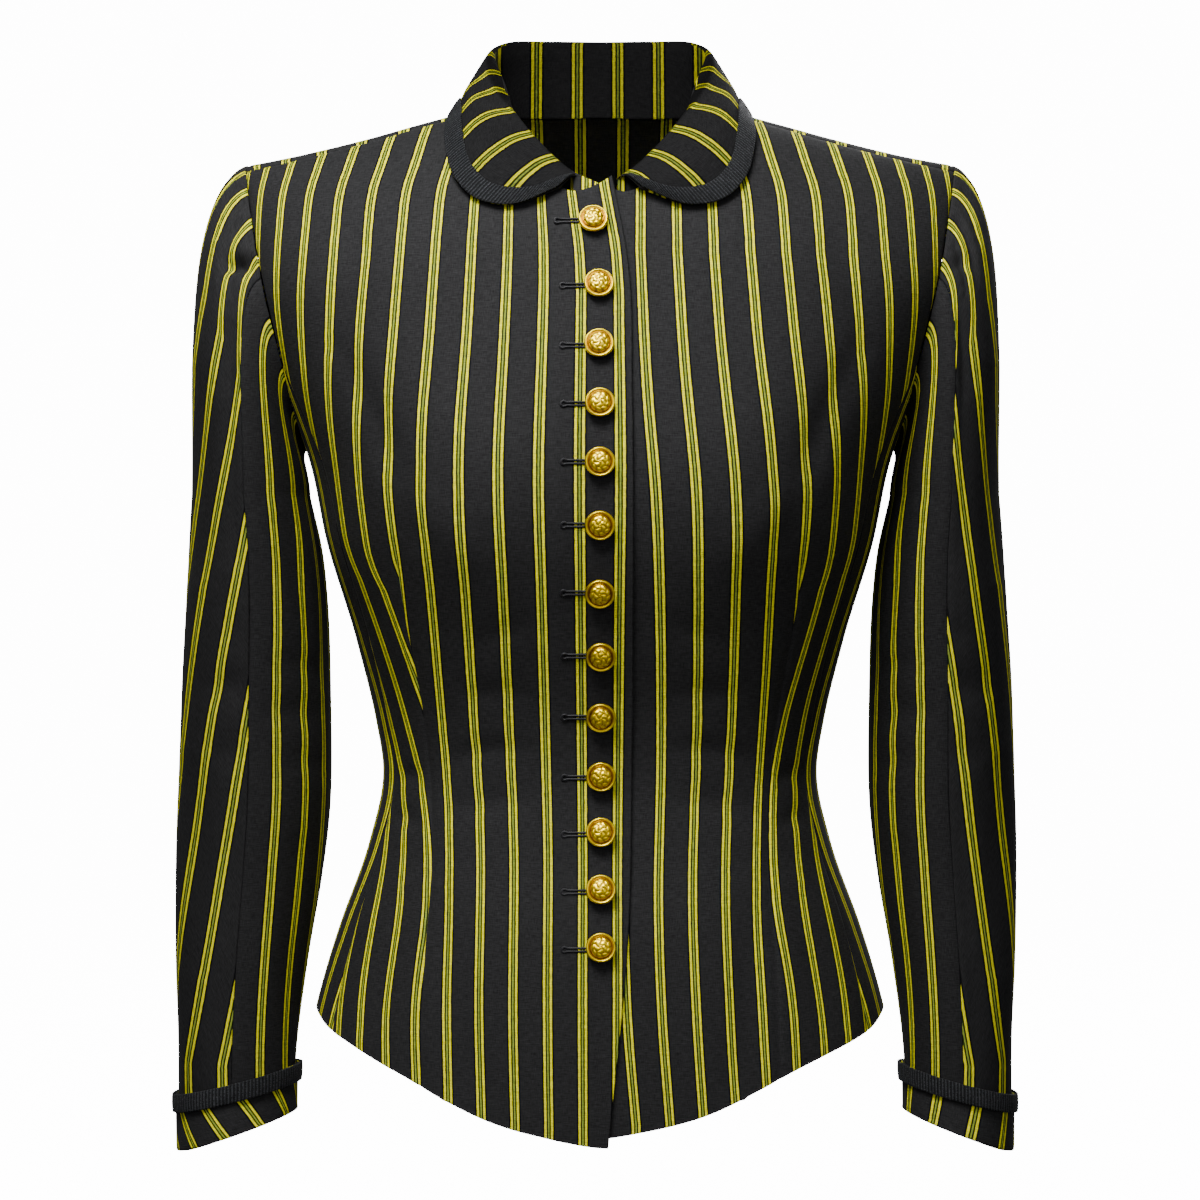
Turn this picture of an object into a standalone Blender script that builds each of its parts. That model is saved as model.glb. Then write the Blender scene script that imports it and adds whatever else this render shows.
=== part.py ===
"""A fitted jacket with a rolled collar, long sleeves with turned-back cuffs and thirteen domed buttons.

Metres, +Z up, the front faces -Y. The origin lies between the shoulders, where the wearer
holds the jacket up.
"""

import math

import bpy
import numpy as np

# Walls and gaps
CLOTH = 0.0016  # wall of the striped cloth
CUFF_WALL = 0.0012
TRIM_WALL = 0.0012
SEAM = 0.00035  # each piece stops this far short of the line that it is sewn on
LAP = CLOTH + 0.0011  # how far the overlapping front stands off the other
REST = 0.0004  # air between a piece and what it lies on

# Body: a row for each level, from the hem up
LEVELS = (
    # height, half width, front depth, back depth
    (-0.560, 0.1680, 0.1220, 0.1100),
    (-0.5100, 0.1630, 0.1200, 0.1080),
    (-0.4675, 0.1550, 0.1170, 0.1040),
    (-0.4235, 0.1420, 0.1110, 0.0960),
    (-0.3795, 0.1265, 0.1020, 0.0860),
    (-0.3410, 0.1190, 0.0980, 0.0790),
    (-0.3135, 0.1226, 0.1010, 0.0805),
    (-0.2695, 0.1336, 0.1120, 0.0870),
    (-0.2184, 0.1490, 0.1240, 0.0940),
    (-0.1727, 0.1585, 0.1260, 0.0990),
    (-0.1265, 0.1760, 0.1180, 0.1010),
    (-0.0836, 0.1915, 0.1050, 0.0980),
    (-0.0300, 0.1990, 0.0860, 0.0940),
    (0.0500, 0.2000, 0.0820, 0.0950),
)
SQUARE = 2.4  # 2 makes a level an ellipse, more squares its corners
SHOULDER_WIDTH = 0.200
SHOULDER_RIDGE = (
    # across, height
    (-0.0400, 0.0270),
    (0.0000, 0.0300),
    (0.0400, 0.0270),
    (0.0720, 0.0205),
    (0.0957, 0.0143),
    (0.1276, 0.0055),
    (0.1645, -0.0033),
    (0.2000, -0.0098),
)
SHOULDER_ROUND = 0.085  # how far below the ridge the body reaches its full depth
BUST = (0.010, 0.080, 0.050, -0.195, 0.062)  # fullness, place across, spread, height, spread

# Cut lines of the body
LAP_EDGE = (
    # height, reach past the centre
    (-0.5335, 0.0042),
    (-0.4151, 0.0152),
    (-0.3313, 0.0168),
    (-0.2265, 0.0173),
    (-0.1427, 0.0168),
    (-0.0694, 0.0147),
    (-0.0215, 0.0063),
)
FRONT_HEM = (
    # across, height of the wearer's right front, and of the left
    (-0.0173, -0.5335, -0.5295),
    (0.0000, -0.5335, -0.5292),
    (0.0200, -0.5304, -0.5262),
    (0.0600, -0.5200, -0.5160),
    (0.0830, -0.5096, -0.5056),
    (0.1010, -0.5000, -0.4967),
    (0.1195, -0.4910, -0.4887),
    (0.1360, -0.4825, -0.4820),
    (0.1440, -0.4785, -0.4785),
)
SIDE_HEM = ((66.0, -0.4785), (78.0, -0.4715), (90.0, -0.4685), (114.0, -0.4700))
BACK_HEM = ((0.0, -0.4790), (0.07, -0.4770), (0.1430, -0.4700))
SIDE_SEAMS = (
    # height, degrees from the side
    (-0.4785, 24.0),
    (-0.4000, 20.5),
    (-0.3410, 19.5),
    (-0.2500, 21.5),
    (-0.1800, 19.0),
    (-0.1250, 15.8),
)
ARMHOLE = (
    # share of the way down, degrees from the side
    (0.00, 13.5),
    (0.20, 15.5),
    (0.40, 18.0),
    (0.55, 19.0),
    (0.72, 16.5),
    (0.87, 10.5),
    (0.96, 4.5),
    (1.00, 0.0),
)
ARMHOLE_SEAM = 0.75  # share of the way down at which the side seams end
UNDERARM = -0.165
SHOULDER_SEAM = 0.010  # the seam lies this far in front of the ridge
FRONT_NECK = (
    # share, across, height
    (0.00, -0.0063, -0.0215),
    (0.10, 0.0010, -0.0290),
    (0.22, 0.0130, -0.0300),
    (0.38, 0.0270, -0.0240),
    (0.56, 0.0430, -0.0130),
    (0.74, 0.0575, 0.0000),
    (0.90, 0.0680, 0.0110),
    (1.00, 0.0720, None),
)
BACK_NECK = (
    # across, way down behind the ridge
    (0.0000, 0.0350),
    (0.0200, 0.0345),
    (0.0400, 0.0300),
    (0.0550, 0.0210),
    (0.0660, 0.0080),
    (0.0720, -0.0100),
)


def through(knots, values, at):
    """Values at places along a smooth curve through the given ones."""
    knots = np.asarray(knots, float)
    values = np.asarray(values, float)
    at = np.clip(np.asarray(at, float), knots[0], knots[-1])
    step = np.diff(knots)
    if values.ndim > 1:
        step = step[:, None]
    rise = np.diff(values, axis=0) / step
    slope = np.empty_like(values)
    slope[0] = rise[0]
    slope[-1] = rise[-1]
    slope[1:-1] = (rise[:-1] * step[1:] + rise[1:] * step[:-1]) / (step[1:] + step[:-1])
    piece = np.clip(np.searchsorted(knots, at, side="right") - 1, 0, len(knots) - 2)
    length = knots[piece + 1] - knots[piece]
    share = (at - knots[piece]) / length
    if values.ndim > 1:
        share = share[..., None]
        length = length[..., None]
    square, cube = share**2, share**3
    start = values[piece] * (2 * cube - 3 * square + 1)
    end = values[piece + 1] * (3 * square - 2 * cube)
    leave = slope[piece] * (cube - 2 * square + share) * length
    reach = slope[piece + 1] * (cube - square) * length
    return start + end + leave + reach


def column(table, number):
    """One column of a table."""
    return np.array([row[number] for row in table], float)


def level(height, number):
    """A size of the body at a height."""
    return through(column(LEVELS, 0), column(LEVELS, number), height)


def ridge(across):
    """Height of the shoulder ridge at a place across."""
    return through(column(SHOULDER_RIDGE, 0), column(SHOULDER_RIDGE, 1), np.abs(across))


def body(turn, drop):
    """Points on the outside of the body.

    The turn goes from centre front through the side at a right angle to centre back. The drop is
    the way down from the shoulder ridge, and a negative one goes down the other side of it.
    """
    turn, drop = np.broadcast_arrays(np.asarray(turn, float), np.asarray(drop, float))
    turn = np.where(drop < 0, np.pi - turn, turn)
    drop = np.abs(drop)
    across = np.sin(turn)
    bend = np.clip(drop / SHOULDER_ROUND, 0, np.pi / 2)
    fall = SHOULDER_ROUND * (1 - np.cos(bend)) + np.maximum(drop - SHOULDER_ROUND * np.pi / 2, 0)
    z = ridge(SHOULDER_WIDTH * across) - fall
    front = np.cos(turn) > 0
    depth = np.where(front, -level(z, 2), level(z, 3))
    flat = np.clip(1 - np.abs(across) ** SQUARE, 0, 1) ** (1 / SQUARE)
    x = level(z, 1) * across
    y = depth * flat * np.sin(bend)
    full, place, spread, height, tall = BUST
    swell = full * np.exp(-(((np.abs(x) - place) / spread) ** 2) - ((z - height) / tall) ** 2)
    y = y - np.where(front, swell * flat, 0)
    return np.stack([x, y, z], -1)


def drop_at(turn, z):
    """The drop at which the body reaches a height."""
    fall = np.maximum(ridge(SHOULDER_WIDTH * np.sin(turn)) - z, 0)
    bend = np.arccos(np.clip(1 - fall / SHOULDER_ROUND, 0, 1))
    return SHOULDER_ROUND * bend + np.maximum(fall - SHOULDER_ROUND, 0)


def turn_at(x, z):
    """The turn at which the front of the body reaches a place across."""
    return np.arcsin(np.clip(x / level(z, 1), -1, 1))


def armhole(share, behind):
    """Turn and drop along the armhole, from the shoulder seam down to the underarm."""
    offset = np.radians(through(column(ARMHOLE, 0), column(ARMHOLE, 1), share))
    bottom = drop_at(np.pi / 2, UNDERARM)
    top = -SHOULDER_SEAM if behind else SHOULDER_SEAM
    turn = np.pi / 2 + offset if behind else np.pi / 2 - offset
    return turn, top + (bottom - top) * share


def shares(*parts):
    """Rising shares from 0 to 1 in runs, each given as its end and its number of steps."""
    line = [0.0]
    for end, steps in parts:
        line.extend(np.linspace(line[-1], end, steps + 1)[1:])
    return np.array(line)


def patch(left, right, bottom, top, across, up):
    """Fills four boundary curves of turn and drop, given at the shares across or up.

    The hem and the top only bend the rows near them, so that the others stay level.
    """
    left, right = (np.stack(c, -1)[:, None] for c in (left, right))
    bottom, top = (np.stack(c, -1)[None] for c in (bottom, top))
    s, t = across[None, :, None], up[:, None, None]
    sides = (1 - s) * left + s * right
    hem = bottom - ((1 - s) * left[:1] + s * right[:1])
    head = top - ((1 - s) * left[-1:] + s * right[-1:])
    return sides + (1 - t) ** 3 * hem + t**4 * head


def side_seam(up_to_armhole, behind):
    """Turn and drop along a side seam, from the hem up to the armhole, at rising shares."""
    hem = SIDE_SEAMS[0][0]
    end_turn, end_drop = armhole(ARMHOLE_SEAM, behind)
    end = float(body(end_turn, end_drop)[2])
    z = hem + (end - hem) * up_to_armhole
    offset = np.radians(through(column(SIDE_SEAMS, 0), column(SIDE_SEAMS, 1), z))
    offset = offset + (abs(end_turn - np.pi / 2) - offset[-1]) * up_to_armhole**6
    turn = np.pi / 2 + offset if behind else np.pi / 2 - offset
    return turn, drop_at(turn, z)


def front_net(across, up, kink_across, kink_up, over):
    """Turn and drop of a front at the shares across, from the lap to the side, and up, from the hem."""
    low, high = LAP_EDGE[0][0], LAP_EDGE[-1][0]
    rise = FRONT_HEM[0][2] - FRONT_HEM[0][1]
    edge_z = low + (high - low) * up + (0 if over else rise) * (1 - up) ** 3
    edge_x = -through(column(LAP_EDGE, 0), column(LAP_EDGE, 1), edge_z)
    turn = turn_at(edge_x, edge_z)
    left = turn, drop_at(turn, edge_z)

    seam = side_seam(np.clip(up / kink_up, 0, 1), False)
    hole = armhole(ARMHOLE_SEAM * np.clip((1 - up) / (1 - kink_up), 0, 1), False)
    right = tuple(np.where(up <= kink_up, a, b) for a, b in zip(seam, hole))

    hem_turn = left[0][0] + (right[0][0] - left[0][0]) * across
    z = np.full_like(across, -0.5)
    for _ in range(12):
        x = level(z, 1) * np.sin(hem_turn)
        z = through(column(FRONT_HEM, 0), column(FRONT_HEM, 1 if over else 2), x)
    bottom = hem_turn, drop_at(hem_turn, z)

    neck_share = np.clip(across / kink_across, 0, 1)
    x = through(column(FRONT_NECK, 0), column(FRONT_NECK, 1), neck_share)
    neck_end = np.arcsin(FRONT_NECK[-1][1] / SHOULDER_WIDTH)
    heights = list(column(FRONT_NECK[:-1], 2))
    heights.append(float(body(neck_end, SHOULDER_SEAM)[2]))
    z = through(column(FRONT_NECK, 0), heights, neck_share)
    neck_turn = np.arcsin(x / level(z, 1))
    neck_drop = drop_at(neck_turn, z)
    tip_turn, _ = armhole(0.0, False)
    along = np.clip((across - kink_across) / (1 - kink_across), 0, 1)
    seam_turn = neck_end + (tip_turn - neck_end) * along
    top = (
        np.where(across <= kink_across, neck_turn, seam_turn),
        np.where(across <= kink_across, neck_drop, SHOULDER_SEAM),
    )
    return patch(left, right, bottom, top, across, up)


def side_net(across, up):
    """Turn and drop of a side panel, from its front seam to its back seam and from the hem up."""
    left = side_seam(up, False)
    right = side_seam(up, True)
    turn = left[0][0] + (right[0][0] - left[0][0]) * across
    z = through(column(SIDE_HEM, 0), column(SIDE_HEM, 1), np.degrees(turn))
    bottom = turn, drop_at(turn, z)
    ahead = armhole(ARMHOLE_SEAM + (1 - ARMHOLE_SEAM) * np.clip(across * 2, 0, 1), False)
    behind = armhole(ARMHOLE_SEAM + (1 - ARMHOLE_SEAM) * np.clip(2 - across * 2, 0, 1), True)
    top = tuple(np.where(across <= 0.5, a, b) for a, b in zip(ahead, behind))
    return patch(left, right, bottom, top, across, up)


def back_net(across, up, kink_across, kink_up):
    """Turn and drop of half the back, from its centre to the side and from the hem up."""
    low = drop_at(np.pi, BACK_HEM[0][1])
    high = BACK_NECK[0][1]
    left = np.full_like(up, np.pi), low + (high - low) * up
    seam = side_seam(np.clip(up / kink_up, 0, 1), True)
    hole = armhole(ARMHOLE_SEAM * np.clip((1 - up) / (1 - kink_up), 0, 1), True)
    right = tuple(np.where(up <= kink_up, a, b) for a, b in zip(seam, hole))
    turn = np.pi + (right[0][0] - np.pi) * across
    x = level(-0.475, 1) * np.sin(turn)
    bottom = turn, drop_at(turn, through(column(BACK_HEM, 0), column(BACK_HEM, 1), x))
    x = BACK_NECK[-1][0] * np.clip(across / kink_across, 0, 1)
    neck_turn = np.pi - np.arcsin(x / SHOULDER_WIDTH)
    neck_drop = through(column(BACK_NECK, 0), column(BACK_NECK, 1), x)
    tip_turn, _ = armhole(0.0, True)
    along = np.clip((across - kink_across) / (1 - kink_across), 0, 1)
    neck_end = np.pi - np.arcsin(BACK_NECK[-1][0] / SHOULDER_WIDTH)
    seam_turn = neck_end + (tip_turn - neck_end) * along
    top = (
        np.where(across <= kink_across, neck_turn, seam_turn),
        np.where(across <= kink_across, neck_drop, -SHOULDER_SEAM),
    )
    return patch(left, right, bottom, top, across, up)


def held_back(points, ends=SEAM, sides=SEAM):
    """Draws the first and last rows of a grid in by one width, and its side columns by another."""
    drawn = points.copy()

    def draw(edge, inner):
        way = inner - edge
        return way / np.linalg.norm(way, axis=-1, keepdims=True)

    drawn[0] += ends * draw(points[0], points[1])
    drawn[-1] += ends * draw(points[-1], points[-2])
    drawn[:, 0] += sides * draw(points[:, 0], points[:, 1])
    drawn[:, -1] += sides * draw(points[:, -1], points[:, -2])
    return drawn


# The part, its collection and its materials
for old in list(bpy.data.objects):
    bpy.data.objects.remove(old, do_unlink=True)

jacket = bpy.data.collections.new("tailored_jacket")
bpy.context.scene.collection.children.link(jacket)


def material(name, colour, rough, metal=0.0):
    made = bpy.data.materials.new(name)
    made.use_nodes = True
    shader = made.node_tree.nodes["Principled BSDF"]
    shader.inputs["Base Color"].default_value = (*colour, 1)
    shader.inputs["Roughness"].default_value = rough
    shader.inputs["Metallic"].default_value = metal
    return made


STRIPED_CLOTH = material("striped_cloth", (0.045, 0.045, 0.05), 0.8)
BLACK_TRIM = material("black_trim", (0.012, 0.013, 0.015), 0.7)
GILT_BUTTON = material("gilt_button", (0.85, 0.56, 0.12), 0.28, 1.0)


def grid(name, points, cloth, wall, outward, ring=False):
    """A cloth piece from a grid of points, given a wall on one side of it.

    Outward says whether rows crossed with columns already face the side that shows.
    """
    rows, columns = points.shape[:2]
    mesh = bpy.data.meshes.new(name)
    faces = []
    for row in range(rows - 1):
        for col in range(columns if ring else columns - 1):
            beside = (col + 1) % columns
            face = (
                row * columns + col,
                row * columns + beside,
                (row + 1) * columns + beside,
                (row + 1) * columns + col,
            )
            faces.append(face if outward else face[::-1])
    mesh.from_pydata(points.reshape(-1, 3).tolist(), [], faces)
    mesh.materials.append(cloth)
    piece = bpy.data.objects.new(name, mesh)
    jacket.objects.link(piece)
    solid = piece.modifiers.new("wall", "SOLIDIFY")
    solid.thickness = abs(wall)
    solid.offset = -1 if wall > 0 else 1
    solid.use_even_offset = True
    return piece


def mirrored(points):
    return points * np.array([-1.0, 1.0, 1.0])


# Fronts. The wearer's right one, at -X, laps over the other.
FRONT_ACROSS = shares((0.18, 2), (0.26, 1), (0.42, 3), (0.97, 6), (1.0, 1))
FRONT_UP = shares((0.70, 14), (0.985, 7), (1.0, 1))


def front(over):
    net = front_net(FRONT_ACROSS, FRONT_UP, 0.42, 0.70, over)
    points = body(net[..., 0], net[..., 1])
    if over:
        share = np.clip((0.034 - points[..., 0]) / 0.014, 0, 1)
        points[..., 1] -= LAP * share * share * (3 - 2 * share)
    return held_back(points)


grid("front_right", mirrored(front(True)), STRIPED_CLOTH, CLOTH, False)
grid("front_left", front(False), STRIPED_CLOTH, CLOTH, True)

# Side panels, from seam to seam under the arms
SIDE_ACROSS = shares((0.06, 1), (0.5, 3), (0.94, 3), (1.0, 1))
SIDE_UP = shares((1.0, 14))
side_grid = side_net(SIDE_ACROSS, SIDE_UP)
side_points = held_back(body(side_grid[..., 0], side_grid[..., 1]))
grid("side_right", mirrored(side_points), STRIPED_CLOTH, CLOTH, False)
grid("side_left", side_points, STRIPED_CLOTH, CLOTH, True)

# Back, in one piece over the shoulders to the seam
BACK_ACROSS = shares((0.20, 2), (0.40, 3), (0.97, 5), (1.0, 1))
back_half = back_net(BACK_ACROSS, FRONT_UP, 0.40, 0.70)
half_points = body(back_half[..., 0], back_half[..., 1])
back_points = np.concatenate([half_points[:, :0:-1], mirrored(half_points)], axis=1)
grid("back", held_back(back_points), STRIPED_CLOTH, CLOTH, True)

# Sleeves
ARM = (
    # height, inner side, outer side on the wearer's right and left, middle of the depth, half depth
    (-0.1900, 0.1590, 0.2244, 0.2195, -0.003, 0.0550),
    (-0.2200, 0.1525, 0.2258, 0.2215, -0.003, 0.0555),
    (-0.2475, 0.1495, 0.2272, 0.2233, -0.004, 0.0550),
    (-0.3000, 0.1478, 0.2296, 0.2262, -0.007, 0.0530),
    (-0.3570, 0.1472, 0.2307, 0.2269, -0.014, 0.0490),
    (-0.4000, 0.1520, 0.2311, 0.2268, -0.022, 0.0450),
    (-0.4430, 0.1585, 0.2301, 0.2252, -0.032, 0.0415),
    (-0.4850, 0.1636, 0.2281, 0.2227, -0.041, 0.0385),
    (-0.5450, 0.1650, 0.2262, 0.2212, -0.048, 0.0365),
)
ARM_TOP = ARM[0][0]
SLEEVE_END = (-0.5309, 0.0108)  # height of its middle, and how much lower the outer side is
HEAD_REACH = {"right": 0.100, "left": 0.088}


def arm_ring(around, z, side, stand_off=0.0):
    """Points round a sleeve. Around goes from the outer side at 0 through the front at a quarter."""
    columns = (1, 2 if side == "right" else 3, 4, 5)
    inner, outer, middle, half = (through(column(ARM, 0)[::-1], column(ARM, n)[::-1], z) for n in columns)
    angle = 2 * np.pi * around
    x = (inner + outer) / 2 + ((outer - inner) / 2 + stand_off) * np.cos(angle)
    y = middle - (half + stand_off) * np.sin(angle)
    return np.stack([x, y, np.broadcast_to(z, x.shape)], -1)


def armhole_ring(around):
    """Points on the body's armhole. Around is as for the sleeve."""
    around = np.asarray(around, float) % 1.0
    ahead = armhole(np.clip(2 * around, 0, 1), False)
    behind = armhole(np.clip(2 - 2 * around, 0, 1), True)
    first = around <= 0.5
    turn = np.where(first, ahead[0], behind[0])
    drop = np.where(first, ahead[1], behind[1])
    return body(turn, drop)


def sleeve_end(around):
    middle, tilt = SLEEVE_END
    return middle - tilt * np.cos(2 * np.pi * around)


def sleeve(around, head, arm, side):
    """A grid down a sleeve at the places around, with rows at the shares of the head and of the arm."""
    angle = 2 * np.pi * around
    start = armhole_ring(around)
    top = arm_ring(around, np.full_like(around, ARM_TOP), side)
    way = np.stack([np.ones_like(angle), -0.35 * np.sin(angle), -0.18 - 0.35 * (1 - np.cos(angle))], -1)
    way /= np.linalg.norm(way, axis=-1, keepdims=True)
    start = start + way * (0.0005 - 0.0004 * np.cos(angle))[:, None]
    leave = way * (HEAD_REACH[side] * (0.58 + 0.42 * np.cos(angle)))[:, None]
    reach = np.stack([0 * angle, 0 * angle, (top[:, 2] - start[:, 2]) * 1.1], -1)
    s = head[:, None, None]
    rows = start * (2 * s**3 - 3 * s**2 + 1) + top * (3 * s**2 - 2 * s**3)
    rows = rows + leave * (s**3 - 2 * s**2 + s) + reach * (s**3 - s**2)
    z = ARM_TOP + (sleeve_end(around)[None] - ARM_TOP) * arm[1:, None]
    return np.concatenate([rows, arm_ring(around[None], z, side)])


HEAD = np.array([0, 0.05, 0.11, 0.19, 0.30, 0.45, 0.62, 0.80, 1.0])
ARM_ROWS = shares((1.0, 11))
NEAR_SEAM = 0.012
OUTER_HALF = np.sort(np.append(np.linspace(-0.25, 0.25, 11), (NEAR_SEAM - 0.25, 0.25 - NEAR_SEAM)))
INNER_HALF = OUTER_HALF + 0.5
SIDES = (("right", False), ("left", True))  # the second says whether it lies as worked out or is mirrored
for part_name, half_ring in (("top_sleeve", OUTER_HALF), ("under_sleeve", INNER_HALF)):
    for side_name, as_made in SIDES:
        sleeve_points = held_back(sleeve(half_ring, HEAD, ARM_ROWS, side_name), sides=2 * SEAM)
        laid = sleeve_points if as_made else mirrored(sleeve_points)
        grid(f"{part_name}_{side_name}", laid, STRIPED_CLOTH, CLOTH, as_made)

# Cuffs, turned back over the sleeve ends and lipped under them
CUFF_TOP = (-0.5055, 0.0084)  # height of its middle, and how much lower the outer side is
CUFF_REST = 0.0006
CUFF_TRIM_HEIGHT = 0.0095
AROUND = np.concatenate([OUTER_HALF[:-1], INNER_HALF[:-1]])
cuff_high = CUFF_TOP[0] - CUFF_TOP[1] * np.cos(2 * np.pi * AROUND)
cuff_low = sleeve_end(AROUND) - CUFF_REST - CUFF_WALL
for side_name, as_made in SIDES:
    cuff_rows = [
        arm_ring(AROUND, cuff_high + (cuff_low - cuff_high) * share, side_name, CUFF_REST + CUFF_WALL)
        for share in (0.0, 0.5, 1.0)
    ]
    cuff_rows.append(arm_ring(AROUND, cuff_low, side_name, -CLOTH - CUFF_REST))
    trim_rows = [
        arm_ring(AROUND, cuff_high + 0.0006 - drop, side_name, 2 * CUFF_REST + CUFF_WALL + TRIM_WALL)
        for drop in (0.0, CUFF_TRIM_HEIGHT)
    ]
    for name, rows, cloth, wall in (
        ("cuff_", cuff_rows, STRIPED_CLOTH, CUFF_WALL),
        ("cuff_trim_", trim_rows, BLACK_TRIM, TRIM_WALL),
    ):
        laid = np.array(rows) if as_made else mirrored(np.array(rows))
        grid(name + side_name, laid, cloth, wall, as_made, ring=True)

# Collar: a row for each place round the neck, from centre back to the front end
COLLAR = (
    # share, place on the neckline, roll x, y and z, edge across, edge height
    # The first four rows lie behind, and their places are across. The others are shares of the
    # front neckline.
    (0.00, 0.000, 0.0000, 0.0560, 0.0660, 0.0000, 0.0000),
    (0.14, 0.025, 0.0290, 0.0530, 0.0660, 0.0340, 0.0010),
    (0.28, 0.048, 0.0520, 0.0400, 0.0640, 0.0600, 0.0060),
    (0.40, 0.064, 0.0610, 0.0200, 0.0560, 0.0740, 0.0130),
    (0.50, 1.000, 0.0595, 0.0020, 0.0430, 0.0780, 0.0190),
    (0.60, 0.930, 0.0525, -0.0180, 0.0275, 0.0810, 0.0120),
    (0.70, 0.800, 0.0445, -0.0380, 0.0145, 0.0820, -0.0020),
    (0.80, 0.620, 0.0355, -0.0540, 0.0020, 0.0755, -0.0245),
    (0.88, 0.450, 0.0265, -0.0660, -0.0085, 0.0615, -0.0365),
    (0.94, 0.310, 0.0195, -0.0720, -0.0155, 0.0440, -0.0385),
    (1.00, 0.200, 0.0115, -0.0770, -0.0215, 0.0215, -0.0310),
)
NECK_MIDDLE = np.array([0.0, -0.020, 0.0])
STAND_DEPTH = 0.0015  # how far the stand reaches down inside the neckline
BEHIND = 4
ROLL = 0.0028  # radius of the roll
# Places across the collar at which its guide points lie: up the stand, round the roll, down the fall
GUIDES_AT = (0.0, 0.15, 0.30, 0.38, 0.46, 0.54, 0.77, 1.0)


def on_body(x, z, behind, stand_off):
    """A point off the body at a place across and a height, and the way out of the body there."""
    turn = turn_at(x, z)
    drop = drop_at(turn, z)
    sign = -1.0 if behind else 1.0

    def place(t, d):
        return body(t, sign * d)

    point = place(turn, drop)
    along = place(turn + 0.01, drop) - place(turn - 0.01, drop)
    down = place(turn, drop + 0.002) - place(turn, max(drop - 0.002, 0.0005))
    way = np.cross(along, down) if behind else np.cross(down, along)
    way /= np.linalg.norm(way)
    return point + way * stand_off, way


def neckline(place, behind):
    """A point inside the neckline, where the stand begins."""
    if behind:
        drop = through(column(BACK_NECK, 0), column(BACK_NECK, 1), place)
        point = body(np.arcsin(place / SHOULDER_WIDTH), -drop)
    else:
        x = float(through(column(FRONT_NECK, 0), column(FRONT_NECK, 1), place))
        heights = list(column(FRONT_NECK[:-1], 2))
        heights.append(float(body(math.asin(x / SHOULDER_WIDTH), SHOULDER_SEAM)[2]))
        z = float(through(column(FRONT_NECK, 0), heights, place))
        turn = turn_at(x, z)
        point = body(turn, drop_at(turn, z))
    inward = (NECK_MIDDLE - point) * (1, 1, 0)
    inward = inward / np.linalg.norm(inward) * (2 * CLOTH + 5 * REST)
    return point + inward - np.array([0, 0, STAND_DEPTH])


def collar_guides():
    """The base, the roll, the edge and the way out at the edge, for each row of the table."""
    guides = []
    for number, row in enumerate(COLLAR):
        _, place, roll_x, roll_y, roll_z, edge_x, edge_z = row
        behind = number < BEHIND
        base = neckline(place, behind)
        over_lap = LAP * min(1.0, max(0.0, (0.048 - edge_x) / 0.02)) if not behind else 0.0
        edge, way = on_body(edge_x, edge_z, behind, CLOTH + 2 * REST + over_lap)
        guides.append(np.concatenate([base, (roll_x, roll_y, roll_z), edge, way]))
    return np.array(guides)


def collar(around, across):
    """A grid of the collar's showing side. Around goes from -1 to 1, across from the base to the edge."""
    guides = through(column(COLLAR, 0), collar_guides(), np.abs(around))
    lines = []
    for sign, guide in zip(np.sign(around), guides):
        base, roll, edge, way = guide[:3], guide[3:6], guide[6:9], guide[9:]
        stand = roll - base
        height = np.linalg.norm(stand)
        stand = stand / height
        radius = min(ROLL, 0.35 * height)
        fall = edge - roll
        out = fall - stand * fall.dot(stand)
        out = out / np.linalg.norm(out)
        centre = roll - stand * radius
        steep = math.atan2(-fall.dot(stand) - radius, fall.dot(out))
        angles = np.linspace(0, math.pi / 2 + steep, 4)
        turns = [centre + radius * (stand * math.sin(a) - out * math.cos(a)) for a in angles]
        bulge = 0.0056 * min(1.0, np.linalg.norm(fall) / 0.04)
        middle = (turns[-1] + edge) / 2 + way * bulge
        knots = np.array([base, (base + turns[0]) / 2, *turns, middle, edge])
        run = np.concatenate([[0], np.cumsum(np.linalg.norm(np.diff(knots, axis=0), axis=1))])
        line = through(run, knots, np.interp(across, GUIDES_AT, run))
        line[:, 0] *= 1.0 if sign >= 0 else -1.0
        lines.append(line)
    return np.array(lines)


COLLAR_AROUND = np.concatenate([-shares((1.0, 15))[:0:-1], shares((1.0, 15))])
COLLAR_ACROSS = np.array([0, 0.15, 0.28, 0.34, 0.38, 0.42, 0.46, 0.50, 0.54, 0.62, 0.74, 0.87, 1.0])
collar_points = collar(COLLAR_AROUND, COLLAR_ACROSS)
grid("collar", collar_points, STRIPED_CLOTH, CLOTH, False)

# Trim on the collar's outer edge, made from the collar's own points
COLLAR_TRIM_WIDTH = 0.011


def trim_lines(lines, steps):
    """For each line of the collar, points from inside the trim's width to just past the edge."""
    made = []
    for line in lines:
        run = np.concatenate([[0], np.cumsum(np.linalg.norm(np.diff(line[::-1], axis=0), axis=1))])
        width = min(COLLAR_TRIM_WIDTH, run[-1] * 0.45)
        places = np.linspace(0, width, steps)
        made.append(np.stack([np.interp(places, run, line[::-1, axis]) for axis in range(3)], -1))
    return np.array(made)


def off_surface(points, distance):
    """Moves a grid of points off its own surface."""
    along = np.gradient(points, axis=0)
    across = np.gradient(points, axis=1)
    way = np.cross(across, along)
    way /= np.linalg.norm(way, axis=-1, keepdims=True)
    return points + way * distance


fine_lines = collar(COLLAR_AROUND, np.linspace(0, 1, 60))
trim_strip = off_surface(trim_lines(fine_lines, 4), 4.6 * REST)
grid("collar_trim", trim_strip, BLACK_TRIM, -TRIM_WALL, True)

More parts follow.
